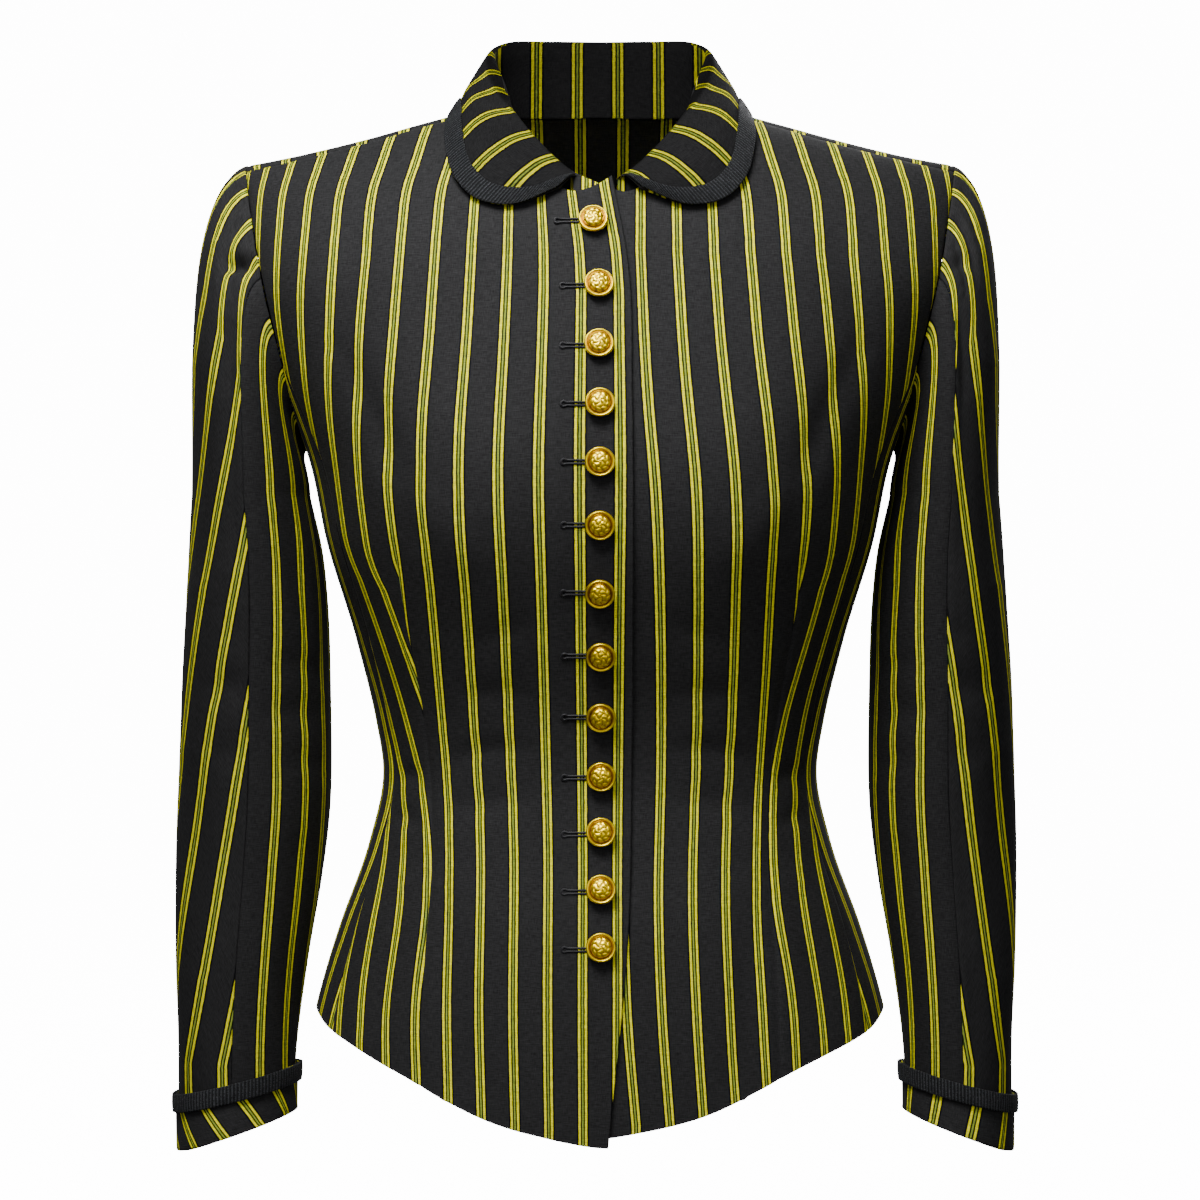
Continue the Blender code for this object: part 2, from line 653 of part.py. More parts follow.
# Buttons, turned about their shank and set down the lap
BUTTON_ROWS = (
    # height of its middle, place across, how much further it stands out
    (-0.0485, -0.0035, -0.0006),
    (-0.0830, -0.0005, -0.0004),
    (-0.1149, -0.0005, -0.0002),
    (-0.1458, 0.0000, -0.0001),
    (-0.1759, 0.0000, -0.0001),
    (-0.2081, 0.0000, -0.0002),
    (-0.2428, 0.0000, -0.0001),
    (-0.2758, 0.0005, -0.0002),
    (-0.3081, 0.0005, 0.0003),
    (-0.3404, 0.0005, 0.0004),
    (-0.3706, 0.0005, 0.0000),
    (-0.4007, 0.0005, -0.0001),
    (-0.4303, 0.0005, -0.0002),
)
BUTTON_PROFILE = (
    # from the axis, above the cloth
    (0.0000, 0.0006),
    (0.0020, 0.0006),
    (0.0020, 0.0022),
    (0.0066, 0.0024),
    (0.0078, 0.0032),
    (0.0078, 0.0040),
    (0.0068, 0.0048),
    (0.0050, 0.0063),
    (0.0026, 0.0073),
    (0.0000, 0.0076),
)
BUTTON_STEPS = 14
button_mesh = bpy.data.meshes.new("button")
button_mesh.from_pydata(
    [(radius, 0.0, height) for radius, height in BUTTON_PROFILE],
    [(n, n + 1) for n in range(len(BUTTON_PROFILE) - 1)],
    [],
)
button_mesh.materials.append(GILT_BUTTON)
for number, (height, across, further) in enumerate(BUTTON_ROWS, 1):
    point, way = on_body(across, height, False, LAP + further)
    button = bpy.data.objects.new(f"button_{number:02d}", button_mesh)
    jacket.objects.link(button)
    button.location = point
    button.rotation_euler = (math.acos(way[2]), 0, math.atan2(way[0], -way[1]))
    turned = button.modifiers.new("turned", "SCREW")
    turned.steps = BUTTON_STEPS
    turned.render_steps = BUTTON_STEPS
    turned.use_merge_vertices = True
    turned.merge_threshold = 0.00005
    turned.use_smooth_shade = True
    turned.use_normal_calculate = True
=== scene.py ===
"""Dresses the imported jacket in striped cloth, black trim and gilt buttons, in soft studio light.

Metres, +Z up, the front faces -Y. The wearer's right side lies at -X, on the left of the picture.
"""

import math

import bpy
import numpy as np
from mathutils import Euler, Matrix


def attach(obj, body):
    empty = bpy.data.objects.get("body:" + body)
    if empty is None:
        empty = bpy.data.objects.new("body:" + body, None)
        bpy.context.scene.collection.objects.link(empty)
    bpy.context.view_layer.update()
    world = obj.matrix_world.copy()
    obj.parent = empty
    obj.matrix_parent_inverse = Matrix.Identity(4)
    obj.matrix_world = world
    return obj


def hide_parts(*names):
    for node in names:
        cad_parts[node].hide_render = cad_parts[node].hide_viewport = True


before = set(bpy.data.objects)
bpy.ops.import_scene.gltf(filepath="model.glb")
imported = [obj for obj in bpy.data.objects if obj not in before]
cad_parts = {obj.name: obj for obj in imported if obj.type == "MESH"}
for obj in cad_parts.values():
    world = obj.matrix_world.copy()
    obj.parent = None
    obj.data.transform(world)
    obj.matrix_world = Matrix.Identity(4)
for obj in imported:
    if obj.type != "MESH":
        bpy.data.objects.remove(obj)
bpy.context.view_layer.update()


# Camera. It stands level with the middle of the jacket, 2.4 m in front of it.
def placed(name, data):
    """Puts an object into the scene."""
    made = bpy.data.objects.new(name, data)
    bpy.context.scene.collection.objects.link(made)
    return made


EYE = (0.0, -2.4, -0.2475)
VIEW_WIDTH = 0.66  # what the picture spans at the middle of the jacket
camera = placed("camera", bpy.data.cameras.new("camera"))
camera.data.lens = camera.data.sensor_width * -EYE[1] / VIEW_WIDTH
camera.location = EYE
camera.rotation_euler = (math.pi / 2, 0, 0)
bpy.context.scene.camera = camera


# Floor. A round pale studio floor that curves up into a wall on all sides, so that no line shows
# where it ends. Its paper glows white to the camera alone, so the jacket gets no light from it.
def material(name):
    """A new material, with its tree and its shader."""
    made = bpy.data.materials.new(name)
    made.use_nodes = True
    return made, made.node_tree, made.node_tree.nodes["Principled BSDF"]


def feed(tree, node, inputs):
    """Links sockets to the inputs of a node and sets plain values on them."""
    for place, value in inputs:
        if isinstance(value, bpy.types.NodeSocket):
            tree.links.new(value, node.inputs[place])
        else:
            node.inputs[place].default_value = value


FLOOR = -0.66
FLOOR_BEND = 1.5
FLOOR_REACH = 5.5
FLOOR_TOP = 6.0
FLOOR_SIDES = 72
floor_line = [(0.01, FLOOR)]
for degrees in range(0, 91, 5):
    bend = math.radians(degrees)
    inward, upward = FLOOR_BEND * (1 - math.sin(bend)), FLOOR_BEND * (1 - math.cos(bend))
    floor_line.append((FLOOR_REACH - inward, FLOOR + upward))
floor_line.append((FLOOR_REACH, FLOOR_TOP))
floor_points, floor_faces = [], []
for ring, (reach, z) in enumerate(floor_line):
    for step in range(FLOOR_SIDES):
        turn = 2 * math.pi * step / FLOOR_SIDES
        floor_points.append((reach * math.sin(turn), reach * math.cos(turn), z))
        if ring:
            far, after = ring * FLOOR_SIDES, (step + 1) % FLOOR_SIDES
            near = far - FLOOR_SIDES
            floor_faces.append((near + step, far + step, far + after, near + after))
floor_faces.append(tuple(range(FLOOR_SIDES)))
floor_mesh = bpy.data.meshes.new("studio_floor")
floor_mesh.from_pydata(floor_points, [], floor_faces)
floor_mesh.shade_smooth()
floor_paper, tree, shader = material("pale_floor")
pale, white = (0.92, 0.92, 0.91, 1), (1, 1, 1, 1)
glow = (("Emission Color", white), ("Emission Strength", 14.0))
feed(tree, shader, (("Base Color", pale), ("Roughness", 0.9), *glow))
floor_mesh.materials.append(floor_paper)
floor = placed("studio_floor", floor_mesh)
floor.visible_diffuse = False
floor.visible_glossy = False

# Light. One soft panel high in front, weaker ones on the sides, at the camera and behind, and a dim
# white room.
LIGHTS = (
    # name, place, what it faces, side, power
    ("high_panel", (-0.30, -0.85, 1.02), (0, -0.05, -0.20), 0.7, 52),
    ("front_left_panel", (-1.6, -2.4, 0.9), (0, 0, -0.2), 1.0, 10),
    ("front_right_panel", (1.9, -2.3, 0.4), (0, 0, -0.25), 1.0, 9),
    ("camera_panel", (0.2, -3.3, 0.6), (0, 0, -0.2), 2.4, 16),
    ("rear_panel", (0.9, 2.1, 1.1), (0, 0, -0.2), 1.2, 30),
)
for name, place, target, side, power in LIGHTS:
    lamp = bpy.data.lights.new(name, "AREA")
    lamp.size = side
    lamp.energy = power
    holder = placed(name, lamp)
    holder.location = place
    holder.visible_camera = False
    x, y, z = np.subtract(place, target)
    holder.rotation_euler = (math.atan2(math.hypot(x, y), z), 0, math.atan2(x, -y))
room = bpy.data.worlds.new("white_room")
room.use_nodes = True
feed(room.node_tree, room.node_tree.nodes["Background"], (("Color", white), ("Strength", 0.16)))
bpy.context.scene.world = room

# The wearer's right front. It laps over the other and holds the buttonholes. It is cut from fine
# striped wool with a waist dart and a neck dart, turned under at the lap and the hem, and sewn to
# the side panel, the sleeve and the back.
CLOTH = 0.0016
LAP = CLOTH + 0.0011
SEAM = 0.00008
LEVELS = (
    # height, half width, front depth, back depth
    (-0.56, 0.168, 0.122, 0.11), (-0.51, 0.163, 0.12, 0.108), (-0.4675, 0.155, 0.117, 0.104),
    (-0.4235, 0.142, 0.111, 0.096), (-0.3795, 0.1265, 0.102, 0.086), (-0.341, 0.119, 0.098, 0.079),
    (-0.3135, 0.1226, 0.101, 0.0805), (-0.2695, 0.1336, 0.112, 0.087), (-0.2184, 0.149, 0.124, 0.094),
    (-0.1727, 0.1585, 0.126, 0.099), (-0.1265, 0.176, 0.118, 0.101), (-0.0836, 0.1915, 0.105, 0.098),
    (-0.03, 0.199, 0.086, 0.094), (0.05, 0.2, 0.082, 0.095),
)
SQUARE = 2.4  # 2 makes a level an ellipse, more squares its corners
SHOULDER_WIDTH = 0.200
SHOULDER_RIDGE = (
    # across, height
    (-0.04, 0.027), (0.0, 0.03), (0.04, 0.027), (0.072, 0.0205), (0.0957, 0.0143), (0.1276, 0.0055),
    (0.1645, -0.0033), (0.2, -0.0098),
)
SHOULDER_ROUND = 0.085  # how far below the ridge the body reaches its full depth
BUST = (0.010, 0.080, 0.050, -0.195, 0.062)  # fullness, place across, spread, height, spread
LAP_EDGE = (
    # height, reach past the centre
    (-0.5335, 0.0042), (-0.4151, 0.0152), (-0.3313, 0.0168), (-0.2265, 0.0173), (-0.1427, 0.0168),
    (-0.0694, 0.0147), (-0.0215, 0.0063),
)
FRONT_HEM = (
    # across, height of the wearer's right front, and of the left
    (-0.0173, -0.5335, -0.5295), (0.0, -0.5335, -0.5292), (0.02, -0.5304, -0.5262),
    (0.06, -0.52, -0.516), (0.083, -0.5096, -0.5056), (0.101, -0.5, -0.4967), (0.1195, -0.491, -0.4887),
    (0.136, -0.4825, -0.482), (0.144, -0.4785, -0.4785),
)
SIDE_SEAMS = (
    # height, degrees from the side
    (-0.4785, 24.0), (-0.4, 20.5), (-0.341, 19.5), (-0.25, 21.5), (-0.18, 19.0), (-0.125, 15.8),
)
ARMHOLE = (
    # share of the way down, degrees from the side
    (0.0, 13.5), (0.2, 15.5), (0.4, 18.0), (0.55, 19.0), (0.72, 16.5), (0.87, 10.5), (0.96, 4.5),
    (1.0, 0.0),
)
ARMHOLE_SEAM = 0.75  # share of the armhole above a side seam
UNDERARM = -0.165
SHOULDER_SEAM = 0.024
FRONT_NECK = (
    # share, across, height
    (0.0, -0.0063, -0.0215), (0.1, 0.001, -0.0262), (0.22, 0.013, -0.0302), (0.38, 0.027, -0.024),
    (0.56, 0.043, -0.013), (0.74, 0.0575, 0.0), (0.9, 0.068, 0.011), (1.0, 0.072, None),
)
UNDER_NECK = ((0.00, -0.0140, -0.0195),) + FRONT_NECK[1:]
UNDER_EDGE = LAP_EDGE[:-1] + ((-0.0195, 0.0140),)
NECK_SHARE = 0.42  # share of a front's top that lies on the neckline
HOLE_SHARE = 0.70  # share of its side that lies below the armhole


def through(knots, values, at):
    """Values at places along a smooth curve through the given ones."""
    knots, values = np.asarray(knots, float), np.asarray(values, float)
    at = np.clip(np.asarray(at, float), knots[0], knots[-1])
    step = np.diff(knots)
    if values.ndim > 1:
        step = step[:, None]
    rise = np.diff(values, axis=0) / step
    slope = np.empty_like(values)
    slope[0], slope[-1] = rise[0], rise[-1]
    slope[1:-1] = (rise[:-1] * step[1:] + rise[1:] * step[:-1]) / (step[1:] + step[:-1])
    piece = np.clip(np.searchsorted(knots, at, side="right") - 1, 0, len(knots) - 2)
    length = knots[piece + 1] - knots[piece]
    share = (at - knots[piece]) / length
    if values.ndim > 1:
        share, length = share[..., None], length[..., None]
    square, cube = share**2, share**3
    start = values[piece] * (2 * cube - 3 * square + 1)
    end = values[piece + 1] * (3 * square - 2 * cube)
    leave = slope[piece] * (cube - 2 * square + share) * length
    reach = slope[piece + 1] * (cube - square) * length
    return start + end + leave + reach


def column(table, number):
    """One column of a table."""
    return np.array([row[number] for row in table], float)


def curve(table, at, number=1):
    """Values of a column of a table at places along its first column."""
    return through(column(table, 0), column(table, number), at)


def level(height, number):
    """A size of the body at a height."""
    return curve(LEVELS, height, number)


def ridge(across):
    """Height of the shoulder ridge at a place across."""
    return curve(SHOULDER_RIDGE, np.abs(across))


def eased(share):
    """A share that leaves 0 and reaches 1 gently."""
    return share * share * (3 - 2 * share)


def section(turn, z):
    """Place across, full depth and, in front, flatness of the body at a turn and a height."""
    across = np.sin(turn)
    front = np.cos(turn) > 0
    depth = np.where(front, -level(z, 2), level(z, 3))
    flat = np.clip(1 - np.abs(across) ** SQUARE, 0, 1) ** (1 / SQUARE)
    return level(z, 1) * across, depth * flat, np.where(front, flat, 0)


def body(turn, drop):
    """Points on the outside of the body, at a turn from centre front and a drop from the shoulders."""
    turn, drop = np.broadcast_arrays(np.asarray(turn, float), np.asarray(drop, float))
    turn = np.where(drop < 0, np.pi - turn, turn)
    drop = np.abs(drop)
    bend = np.clip(drop / SHOULDER_ROUND, 0, np.pi / 2)
    fall = SHOULDER_ROUND * (1 - np.cos(bend)) + np.maximum(drop - SHOULDER_ROUND * np.pi / 2, 0)
    z = ridge(SHOULDER_WIDTH * np.sin(turn)) - fall
    x, y, flat = section(turn, z)
    full, place, spread, height, tall = BUST
    swell = full * np.exp(-(((np.abs(x) - place) / spread) ** 2) - ((z - height) / tall) ** 2)
    return np.stack([x, y * np.sin(bend) - swell * flat, z], -1)


def drop_at(turn, z):
    """The drop at which the body reaches a height."""
    fall = np.maximum(ridge(SHOULDER_WIDTH * np.sin(turn)) - z, 0)
    bend = np.arccos(np.clip(1 - fall / SHOULDER_ROUND, 0, 1))
    return SHOULDER_ROUND * bend + np.maximum(fall - SHOULDER_ROUND, 0)


def turn_at(x, z):
    """The turn at which the front of the body reaches a place across."""
    return np.arcsin(np.clip(x / level(z, 1), -1, 1))


def from_side(offset, behind):
    """The turn that lies an offset before or behind the side."""
    return np.pi / 2 + offset if behind else np.pi / 2 - offset


def armhole(share, behind):
    """Turn and drop along the armhole, from the shoulder seam down to the underarm."""
    bottom = drop_at(np.pi / 2, UNDERARM)
    top = -SHOULDER_SEAM if behind else SHOULDER_SEAM
    return from_side(np.radians(curve(ARMHOLE, share)), behind), top + (bottom - top) * share


def shares(*parts):
    """Rising shares from 0 to 1 in runs, each given as its end and its number of steps."""
    line = [0.0]
    for end, steps in parts:
        line.extend(np.linspace(line[-1], end, steps + 1)[1:])
    return np.array(line)


def patch(left, right, bottom, top, across, up):
    """Fills four boundary curves of turn and drop, given at the shares across or up."""
    left, right = (np.stack(c, -1)[:, None] for c in (left, right))
    bottom, top = (np.stack(c, -1)[None] for c in (bottom, top))
    s, t = across[None, :, None], up[:, None, None]
    sides = (1 - s) * left + s * right
    hem = bottom - ((1 - s) * left[:1] + s * right[:1])
    head = top - ((1 - s) * left[-1:] + s * right[-1:])
    return sides + (1 - t) ** 3 * hem + t**4 * head


def side_seam(share, behind):
    """Turn and drop along a side seam, at rising shares from the hem up to the armhole."""
    hem = SIDE_SEAMS[0][0]
    end_turn, end_drop = armhole(ARMHOLE_SEAM, behind)
    z = hem + (float(body(end_turn, end_drop)[2]) - hem) * share
    offset = np.radians(curve(SIDE_SEAMS, z))
    offset = offset + (abs(end_turn - np.pi / 2) - offset[-1]) * share**6
    turn = from_side(offset, behind)
    return turn, drop_at(turn, z)


def side_edge(up, behind):
    """Turn and drop up a side seam and on up the armhole."""
    seam = side_seam(np.clip(up / HOLE_SHARE, 0, 1), behind)
    hole = armhole(ARMHOLE_SEAM * np.clip((1 - up) / (1 - HOLE_SHARE), 0, 1), behind)
    return tuple(np.where(up <= HOLE_SHARE, a, b) for a, b in zip(seam, hole))


def top_edge(across, neck_share, neck, neck_end, behind):
    """Turn and drop along a neckline, given up to its share, and on along the shoulder seam."""
    tip, seam_drop = armhole(0.0, behind)
    along = np.clip((across - neck_share) / (1 - neck_share), 0, 1)
    seam = neck_end + (tip - neck_end) * along, seam_drop
    return tuple(np.where(across <= neck_share, a, b) for a, b in zip(neck, seam))


def neck_heights(neck, end_x):
    """Heights along a front's neckline, which ends on the shoulder seam at a place across."""
    end = body(np.arcsin(end_x / SHOULDER_WIDTH), SHOULDER_SEAM)
    return [*column(neck[:-1], 2), float(end[2])]


def front_net(across, up, over):
    """Turn and drop of a front at the shares across, from the lap to the side, and up, from the hem."""
    edge = LAP_EDGE if over else UNDER_EDGE
    neck = FRONT_NECK if over else UNDER_NECK
    low, high = edge[0][0], edge[-1][0]
    rise = 0 if over else FRONT_HEM[0][2] - FRONT_HEM[0][1]
    edge_z = low + (high - low) * up + rise * (1 - up) ** 3
    turn = turn_at(-curve(edge, edge_z), edge_z)
    left = turn, drop_at(turn, edge_z)
    right = side_edge(up, False)
    turn = left[0][0] + (right[0][0] - left[0][0]) * across
    z = np.full_like(across, -0.5)
    for _ in range(12):
        z = curve(FRONT_HEM, level(z, 1) * np.sin(turn), 1 if over else 2)
    bottom = turn, drop_at(turn, z)
    share = np.clip(across / NECK_SHARE, 0, 1)
    z = through(column(neck, 0), neck_heights(neck, neck[-1][1]), share)
    turn = np.arcsin(curve(neck, share) / level(z, 1))
    neck_end = np.arcsin(neck[-1][1] / SHOULDER_WIDTH)
    top = top_edge(across, NECK_SHARE, (turn, drop_at(turn, z)), neck_end, False)
    return patch(left, right, bottom, top, across, up)


# Distance round the body from centre front, charted once by height and turn
GIRTH_HEIGHTS = np.linspace(-0.56, -0.0836, 60)
GIRTH_TURNS = np.linspace(0, np.pi, 721)
GIRTH_EASE = 0.030  # how far below and above its top height the chart is eased into a level
girth_x, girth_y, _ = section(GIRTH_TURNS[None], GIRTH_HEIGHTS[:, None])
girth_steps = np.hypot(np.diff(girth_x, axis=1), np.diff(girth_y, axis=1))
GIRTHS = np.pad(np.cumsum(girth_steps, axis=1), ((0, 0), (1, 0)))


def girth(turn, z):
    """Distance round the body from centre front at a height."""
    turn, z = np.broadcast_arrays(turn, z)
    top = GIRTH_HEIGHTS[-1] - GIRTH_EASE
    past = np.clip(z - top, 0, 2 * GIRTH_EASE)
    z = np.minimum(z, top) + past - past**2 / (4 * GIRTH_EASE)
    step = GIRTH_HEIGHTS[1] - GIRTH_HEIGHTS[0]
    row = np.clip((z - GIRTH_HEIGHTS[0]) / step, 0, len(GIRTH_HEIGHTS) - 1.001)
    col = np.clip(np.abs(turn) / GIRTH_TURNS[1], 0, len(GIRTH_TURNS) - 1.001)
    r, c = row.astype(int), col.astype(int)
    fr, fc = row - r, col - c
    near, far = (GIRTHS[line, c] * (1 - fc) + GIRTHS[line, c + 1] * fc for line in (r, r + 1))
    return np.sign(turn) * (near * (1 - fr) + far * fr)


def unit(way):
    """Ways brought to a length of 1."""
    return way / np.linalg.norm(way, axis=-1, keepdims=True)


def outward(points):
    """The way out of a grid's surface, where its columns run round and its rows run up."""
    return unit(np.cross(np.gradient(points, axis=1), np.gradient(points, axis=0)))


def pressed(points, dent):
    """A grid pressed in by a depth at each point."""
    return points - outward(points) * dent[..., None]


def runs(points):
    """Distances of each point of a grid to its left, right, low and high edges, along the grid."""
    left = np.cumsum(np.linalg.norm(np.diff(points, axis=1), axis=-1), axis=1)
    low = np.cumsum(np.linalg.norm(np.diff(points, axis=0), axis=-1), axis=0)
    left, low = np.pad(left, ((0, 0), (1, 0))), np.pad(low, ((1, 0), (0, 0)))
    return left, left[:, -1:] - left, low, low[-1:] - low


EDGE_PULL = 0.004  # how far in from an edge the cloth still follows it


def slid(points, at, moved):
    """The rows of a grid with their points slid along them, from their distances to others."""
    lines = [[np.interp(m, a, line[:, i]) for i in range(3)] for m, a, line in zip(moved, at, points)]
    return np.array(lines).transpose(0, 2, 1)


def drawn_in(points, ends, sides):
    """Draws a grid's edges in, so that it stops short of its seams."""
    left, right, low, high = runs(points)
    moved = left + sides * (np.exp(-left / EDGE_PULL) - np.exp(-right / EDGE_PULL))
    made = slid(points, left, moved)
    moved = low + ends * (np.exp(-low / EDGE_PULL) - np.exp(-high / EDGE_PULL))
    return slid(made.swapaxes(0, 1), low.T, moved.T).swapaxes(0, 1)


def creased(across, up, table):
    """Depth of the creases of a table at places on a flat piece. A ridge has a depth below zero."""
    total = np.zeros(np.broadcast(across, up).shape)
    share = np.linspace(0, 1, 40)
    bends = (1 - share) ** 2, 2 * share * (1 - share), share**2
    for *ends, width, depth in table:
        line_x, line_z = (sum(b * e for b, e in zip(bends, ends[first::2])) for first in (0, 1))
        gap = (across[..., None] - line_x) ** 2 + (up[..., None] - line_z) ** 2
        fade = np.sin(np.pi * share[gap.argmin(-1)]) ** 0.7
        total += depth * fade * np.exp(-gap.min(-1) / width**2)
    return total


def sewn(distance, depth=0.0006, width=0.0016):
    """Depth to which cloth is drawn in beside a seam."""
    return depth * np.exp(-((distance / width) ** 2))


def uneven(across, up):
    """Slight waviness of cloth."""
    wave = np.sin(31 * across + 17 * up + 0.7) * np.sin(23 * up - 11 * across + 1.9)
    return 0.00028 * wave + 0.00016 * np.sin(67 * across - 29 * up + 0.4) * np.sin(53 * up + 2.2)


def cells(rows, columns):
    """Rows and columns of the four corners of each cell of a grid."""
    row, col = (part.ravel() for part in np.mgrid[0:rows, 0:columns])
    return (row, col), (row, col + 1), (row + 1, col + 1), (row + 1, col)


def woven_mesh(name, points, faces, chart):
    """A smooth mesh with the chart of its weave."""
    mesh = bpy.data.meshes.new(name)
    mesh.from_pydata(points.tolist(), [], faces.tolist())
    mesh.uv_layers.new(name="weave").data.foreach_set("uv", chart.astype(float).reshape(-1))
    mesh.shade_smooth()
    return mesh


SOFT_EDGE = 0.00028  # how far an edge of cloth is rounded out


def shell(name, points, stripe, run, wall, mirror=False, ring=False, jump=None, painted_shading=None):
    """A piece of cloth with a wall and soft edges from a grid of points on its showing side.

    The stripe and the run are its pattern's places across and along, in stripe widths. The jump gives
    a column and how far the pattern leaps there in each row. The painted shading gives how much brighter
    than elsewhere the cloth is painted on the showing side and on the wrong side, as painted light and shade.
    """
    rows, columns = points.shape[:2]
    leap_column, leap = jump or (columns, np.zeros(rows))
    if ring:
        way = outward(np.concatenate([points[:, -1:], points, points[:, :1]], axis=1))[:, 1:-1]
    else:
        way = outward(points)
    thick = np.broadcast_to(wall, (rows, columns))[..., None]
    places = [points.reshape(-1, 3), (points - way * thick).reshape(-1, 3)]
    faces, chart = [], []

    def add(quad, pattern, flip):
        faces.append(quad[:, ::-1] if flip else quad)
        chart.append(pattern[:, ::-1] if flip else pattern)

    corners = cells(rows - 1, columns if ring else columns - 1)
    quads = np.stack([r * columns + c % columns for r, c in corners], -1)
    beyond = corners[0][1] >= leap_column
    patterns = [np.stack([stripe[r, c] + beyond * leap[r], run[r, c]], -1) for r, c in corners]
    count = rows * columns
    add(quads, np.stack(patterns, 1), False)
    add(quads + count, np.stack(patterns, 1), True)
    # Soft rims: a middle line between the two sides, a little further out
    numbers = np.arange(count).reshape(rows, columns)
    rims = [(0, 0, 1), (0, rows - 1, -1)]
    if not ring:
        rims += [(1, 0, 1), (1, columns - 1, -1)]
    for axis, at, inner in rims:
        grids = (points, way, thick, numbers, stripe, run)
        here, out_here, wall_here, line, stripe_here, run_here = (np.take(g, at, axis) for g in grids)
        out = unit(here - np.take(points, at + inner, axis))
        rim = sum(len(p) for p in places) + np.arange(len(here))
        places.append(here - out_here * wall_here / 2 + out * np.minimum(SOFT_EDGE, wall_here / 3))
        step = np.arange(len(here) - (not ring))
        first, second = (step, step + 1) if axis == 0 else (step + 1, step)
        mark = np.stack([first, first, second, second], -1)
        if axis == 0:
            added = ((step >= leap_column) * leap[at])[:, None]
        else:
            # The corners share the rim points of the rows
            rim[0], rim[-1] = 2 * count + at, 2 * count + columns + at
            added = leap[mark] * (at > 0)
        pattern = np.stack([stripe_here[mark] + added, run_here[mark]], -1)
        first, second = first % len(here), second % len(here)
        for upper, lower in ((line, rim), (rim, line + count)):
            add(np.stack([upper[first], lower[first], lower[second], upper[second]], -1), pattern, inner < 0)
    places, faces, chart = (np.concatenate(part) for part in (places, faces, chart))
    if mirror:
        places, faces, chart = places * (-1, 1, 1), faces[:, ::-1], chart[:, ::-1]
    mesh = woven_mesh(name, places, faces, chart)
    # Painted light and shade: a brightness factor for each point, which the striped material multiplies in
    if painted_shading is not None:
        shade = np.zeros(len(places))
        shade[:count] = np.broadcast_to(painted_shading[0], (rows, columns)).ravel()
        shade[count : 2 * count] = painted_shading[1]
        mesh.attributes.new("painted_shading", "FLOAT", "POINT").data.foreach_set("value", shade)
    mesh.validate()
    return placed(name, mesh)


def put(tree, kind, inputs=(), **settings):
    """Adds a node with its settings and inputs, and gives its first output."""
    made = tree.nodes.new(kind)
    for setting, value in settings.items():
        setattr(made, setting, value)
    feed(tree, made, inputs)
    return made.outputs[0]


def maths(tree, operation, first, second=0.0):
    """One sum of two values."""
    return put(tree, "ShaderNodeMath", ((0, first), (1, second)), operation=operation)


def ramp(tree, value, stops):
    """A colour ramp through stops of place and colour."""
    made = tree.nodes.new("ShaderNodeValToRGB")
    tree.links.new(value, made.inputs[0])
    points = made.color_ramp.elements
    while len(points) < len(stops):
        points.new(0.5)
    for point, (place, colour) in zip(points, stops):
        point.position = place
        point.color = (*colour, 1)
    return made.outputs[0]


def noise(tree, vector, scale, detail):
    """Noise over a chart."""
    return put(tree, "ShaderNodeTexNoise", (("Vector", vector), ("Scale", scale), ("Detail", detail)))


def threads(tree, chart, across, along, detail=2.0):
    """Uneven threads, so many to a stripe width across and along."""
    scaled = put(tree, "ShaderNodeVectorMath", ((0, chart), (1, (across, along, 1.0))), operation="MULTIPLY")
    return noise(tree, scaled, 1.0, detail)


def spread(tree, value, *ends):
    """Stretches a range of values to another range."""
    names = ("From Min", "From Max", "To Min", "To Max")
    return put(tree, "ShaderNodeMapRange", (("Value", value), *zip(names, ends)))


def bump(tree, height, strength, distance):
    """A surface raised by a height."""
    return put(tree, "ShaderNodeBump", (("Strength", strength), ("Distance", distance), ("Height", height)))


def charted(tree):
    """The chart of a piece's weave, and its places across and along."""
    chart = put(tree, "ShaderNodeUVMap", uv_map="weave")
    split = tree.nodes.new("ShaderNodeSeparateXYZ")
    tree.links.new(chart, split.inputs[0])
    return chart, split.outputs[0], split.outputs[1]


GROUND = (0.0150, 0.0150, 0.0156)
BORDER = (0.0012, 0.0012, 0.0024)
YELLOW = (0.760, 0.700, 0.004)
OLIVE = (0.013, 0.022, 0.002)
PALE = (0.250, 0.310, 0.035)
STRIPE_STOPS = (
    # distance from the stripe's middle in fifths of the pitch, colour
    (0.00, PALE), (0.08, PALE), (0.12, OLIVE), (0.29, OLIVE), (0.34, YELLOW), (0.62, YELLOW),
    (0.67, BORDER), (0.84, BORDER), (0.92, GROUND), (1.00, GROUND),
)
STRIPED, tree, shader = material("striped_wool")
chart, place, _ = charted(tree)
wander = maths(tree, "MULTIPLY", maths(tree, "SUBTRACT", threads(tree, chart, 9, 5), 0.5), 0.018)
place = maths(tree, "FRACT", maths(tree, "ADD", place, wander))
distance = maths(tree, "MULTIPLY", maths(tree, "ABSOLUTE", maths(tree, "SUBTRACT", place, 0.5)), 5.0)
stripes = ramp(tree, distance, STRIPE_STOPS)
warp = threads(tree, chart, 62, 5.5)
weft = threads(tree, chart, 5.5, 62)
slubs = threads(tree, chart, 3.0, 26, 1.0)
woven = maths(tree, "ADD", maths(tree, "MULTIPLY", warp, 0.5), maths(tree, "MULTIPLY", weft, 0.5))
uneven_weave = maths(tree, "ADD", maths(tree, "MULTIPLY", woven, 0.75), maths(tree, "MULTIPLY", slubs, 0.25))
# Painted light and shade: the mesh's painted shading makes the cloth's colour, specular and sheen brighter or
# darker where a piece should look more or less lit
painted_shading = tree.nodes.new("ShaderNodeAttribute")
painted_shading.attribute_name = "painted_shading"
lit = maths(tree, "ADD", painted_shading.outputs["Fac"], 1.0)
bright = maths(tree, "MULTIPLY", spread(tree, uneven_weave, 0.36, 0.64, 0.45, 1.3), lit)
bright = put(tree, "ShaderNodeCombineXYZ", ((0, bright), (1, bright), (2, bright)))
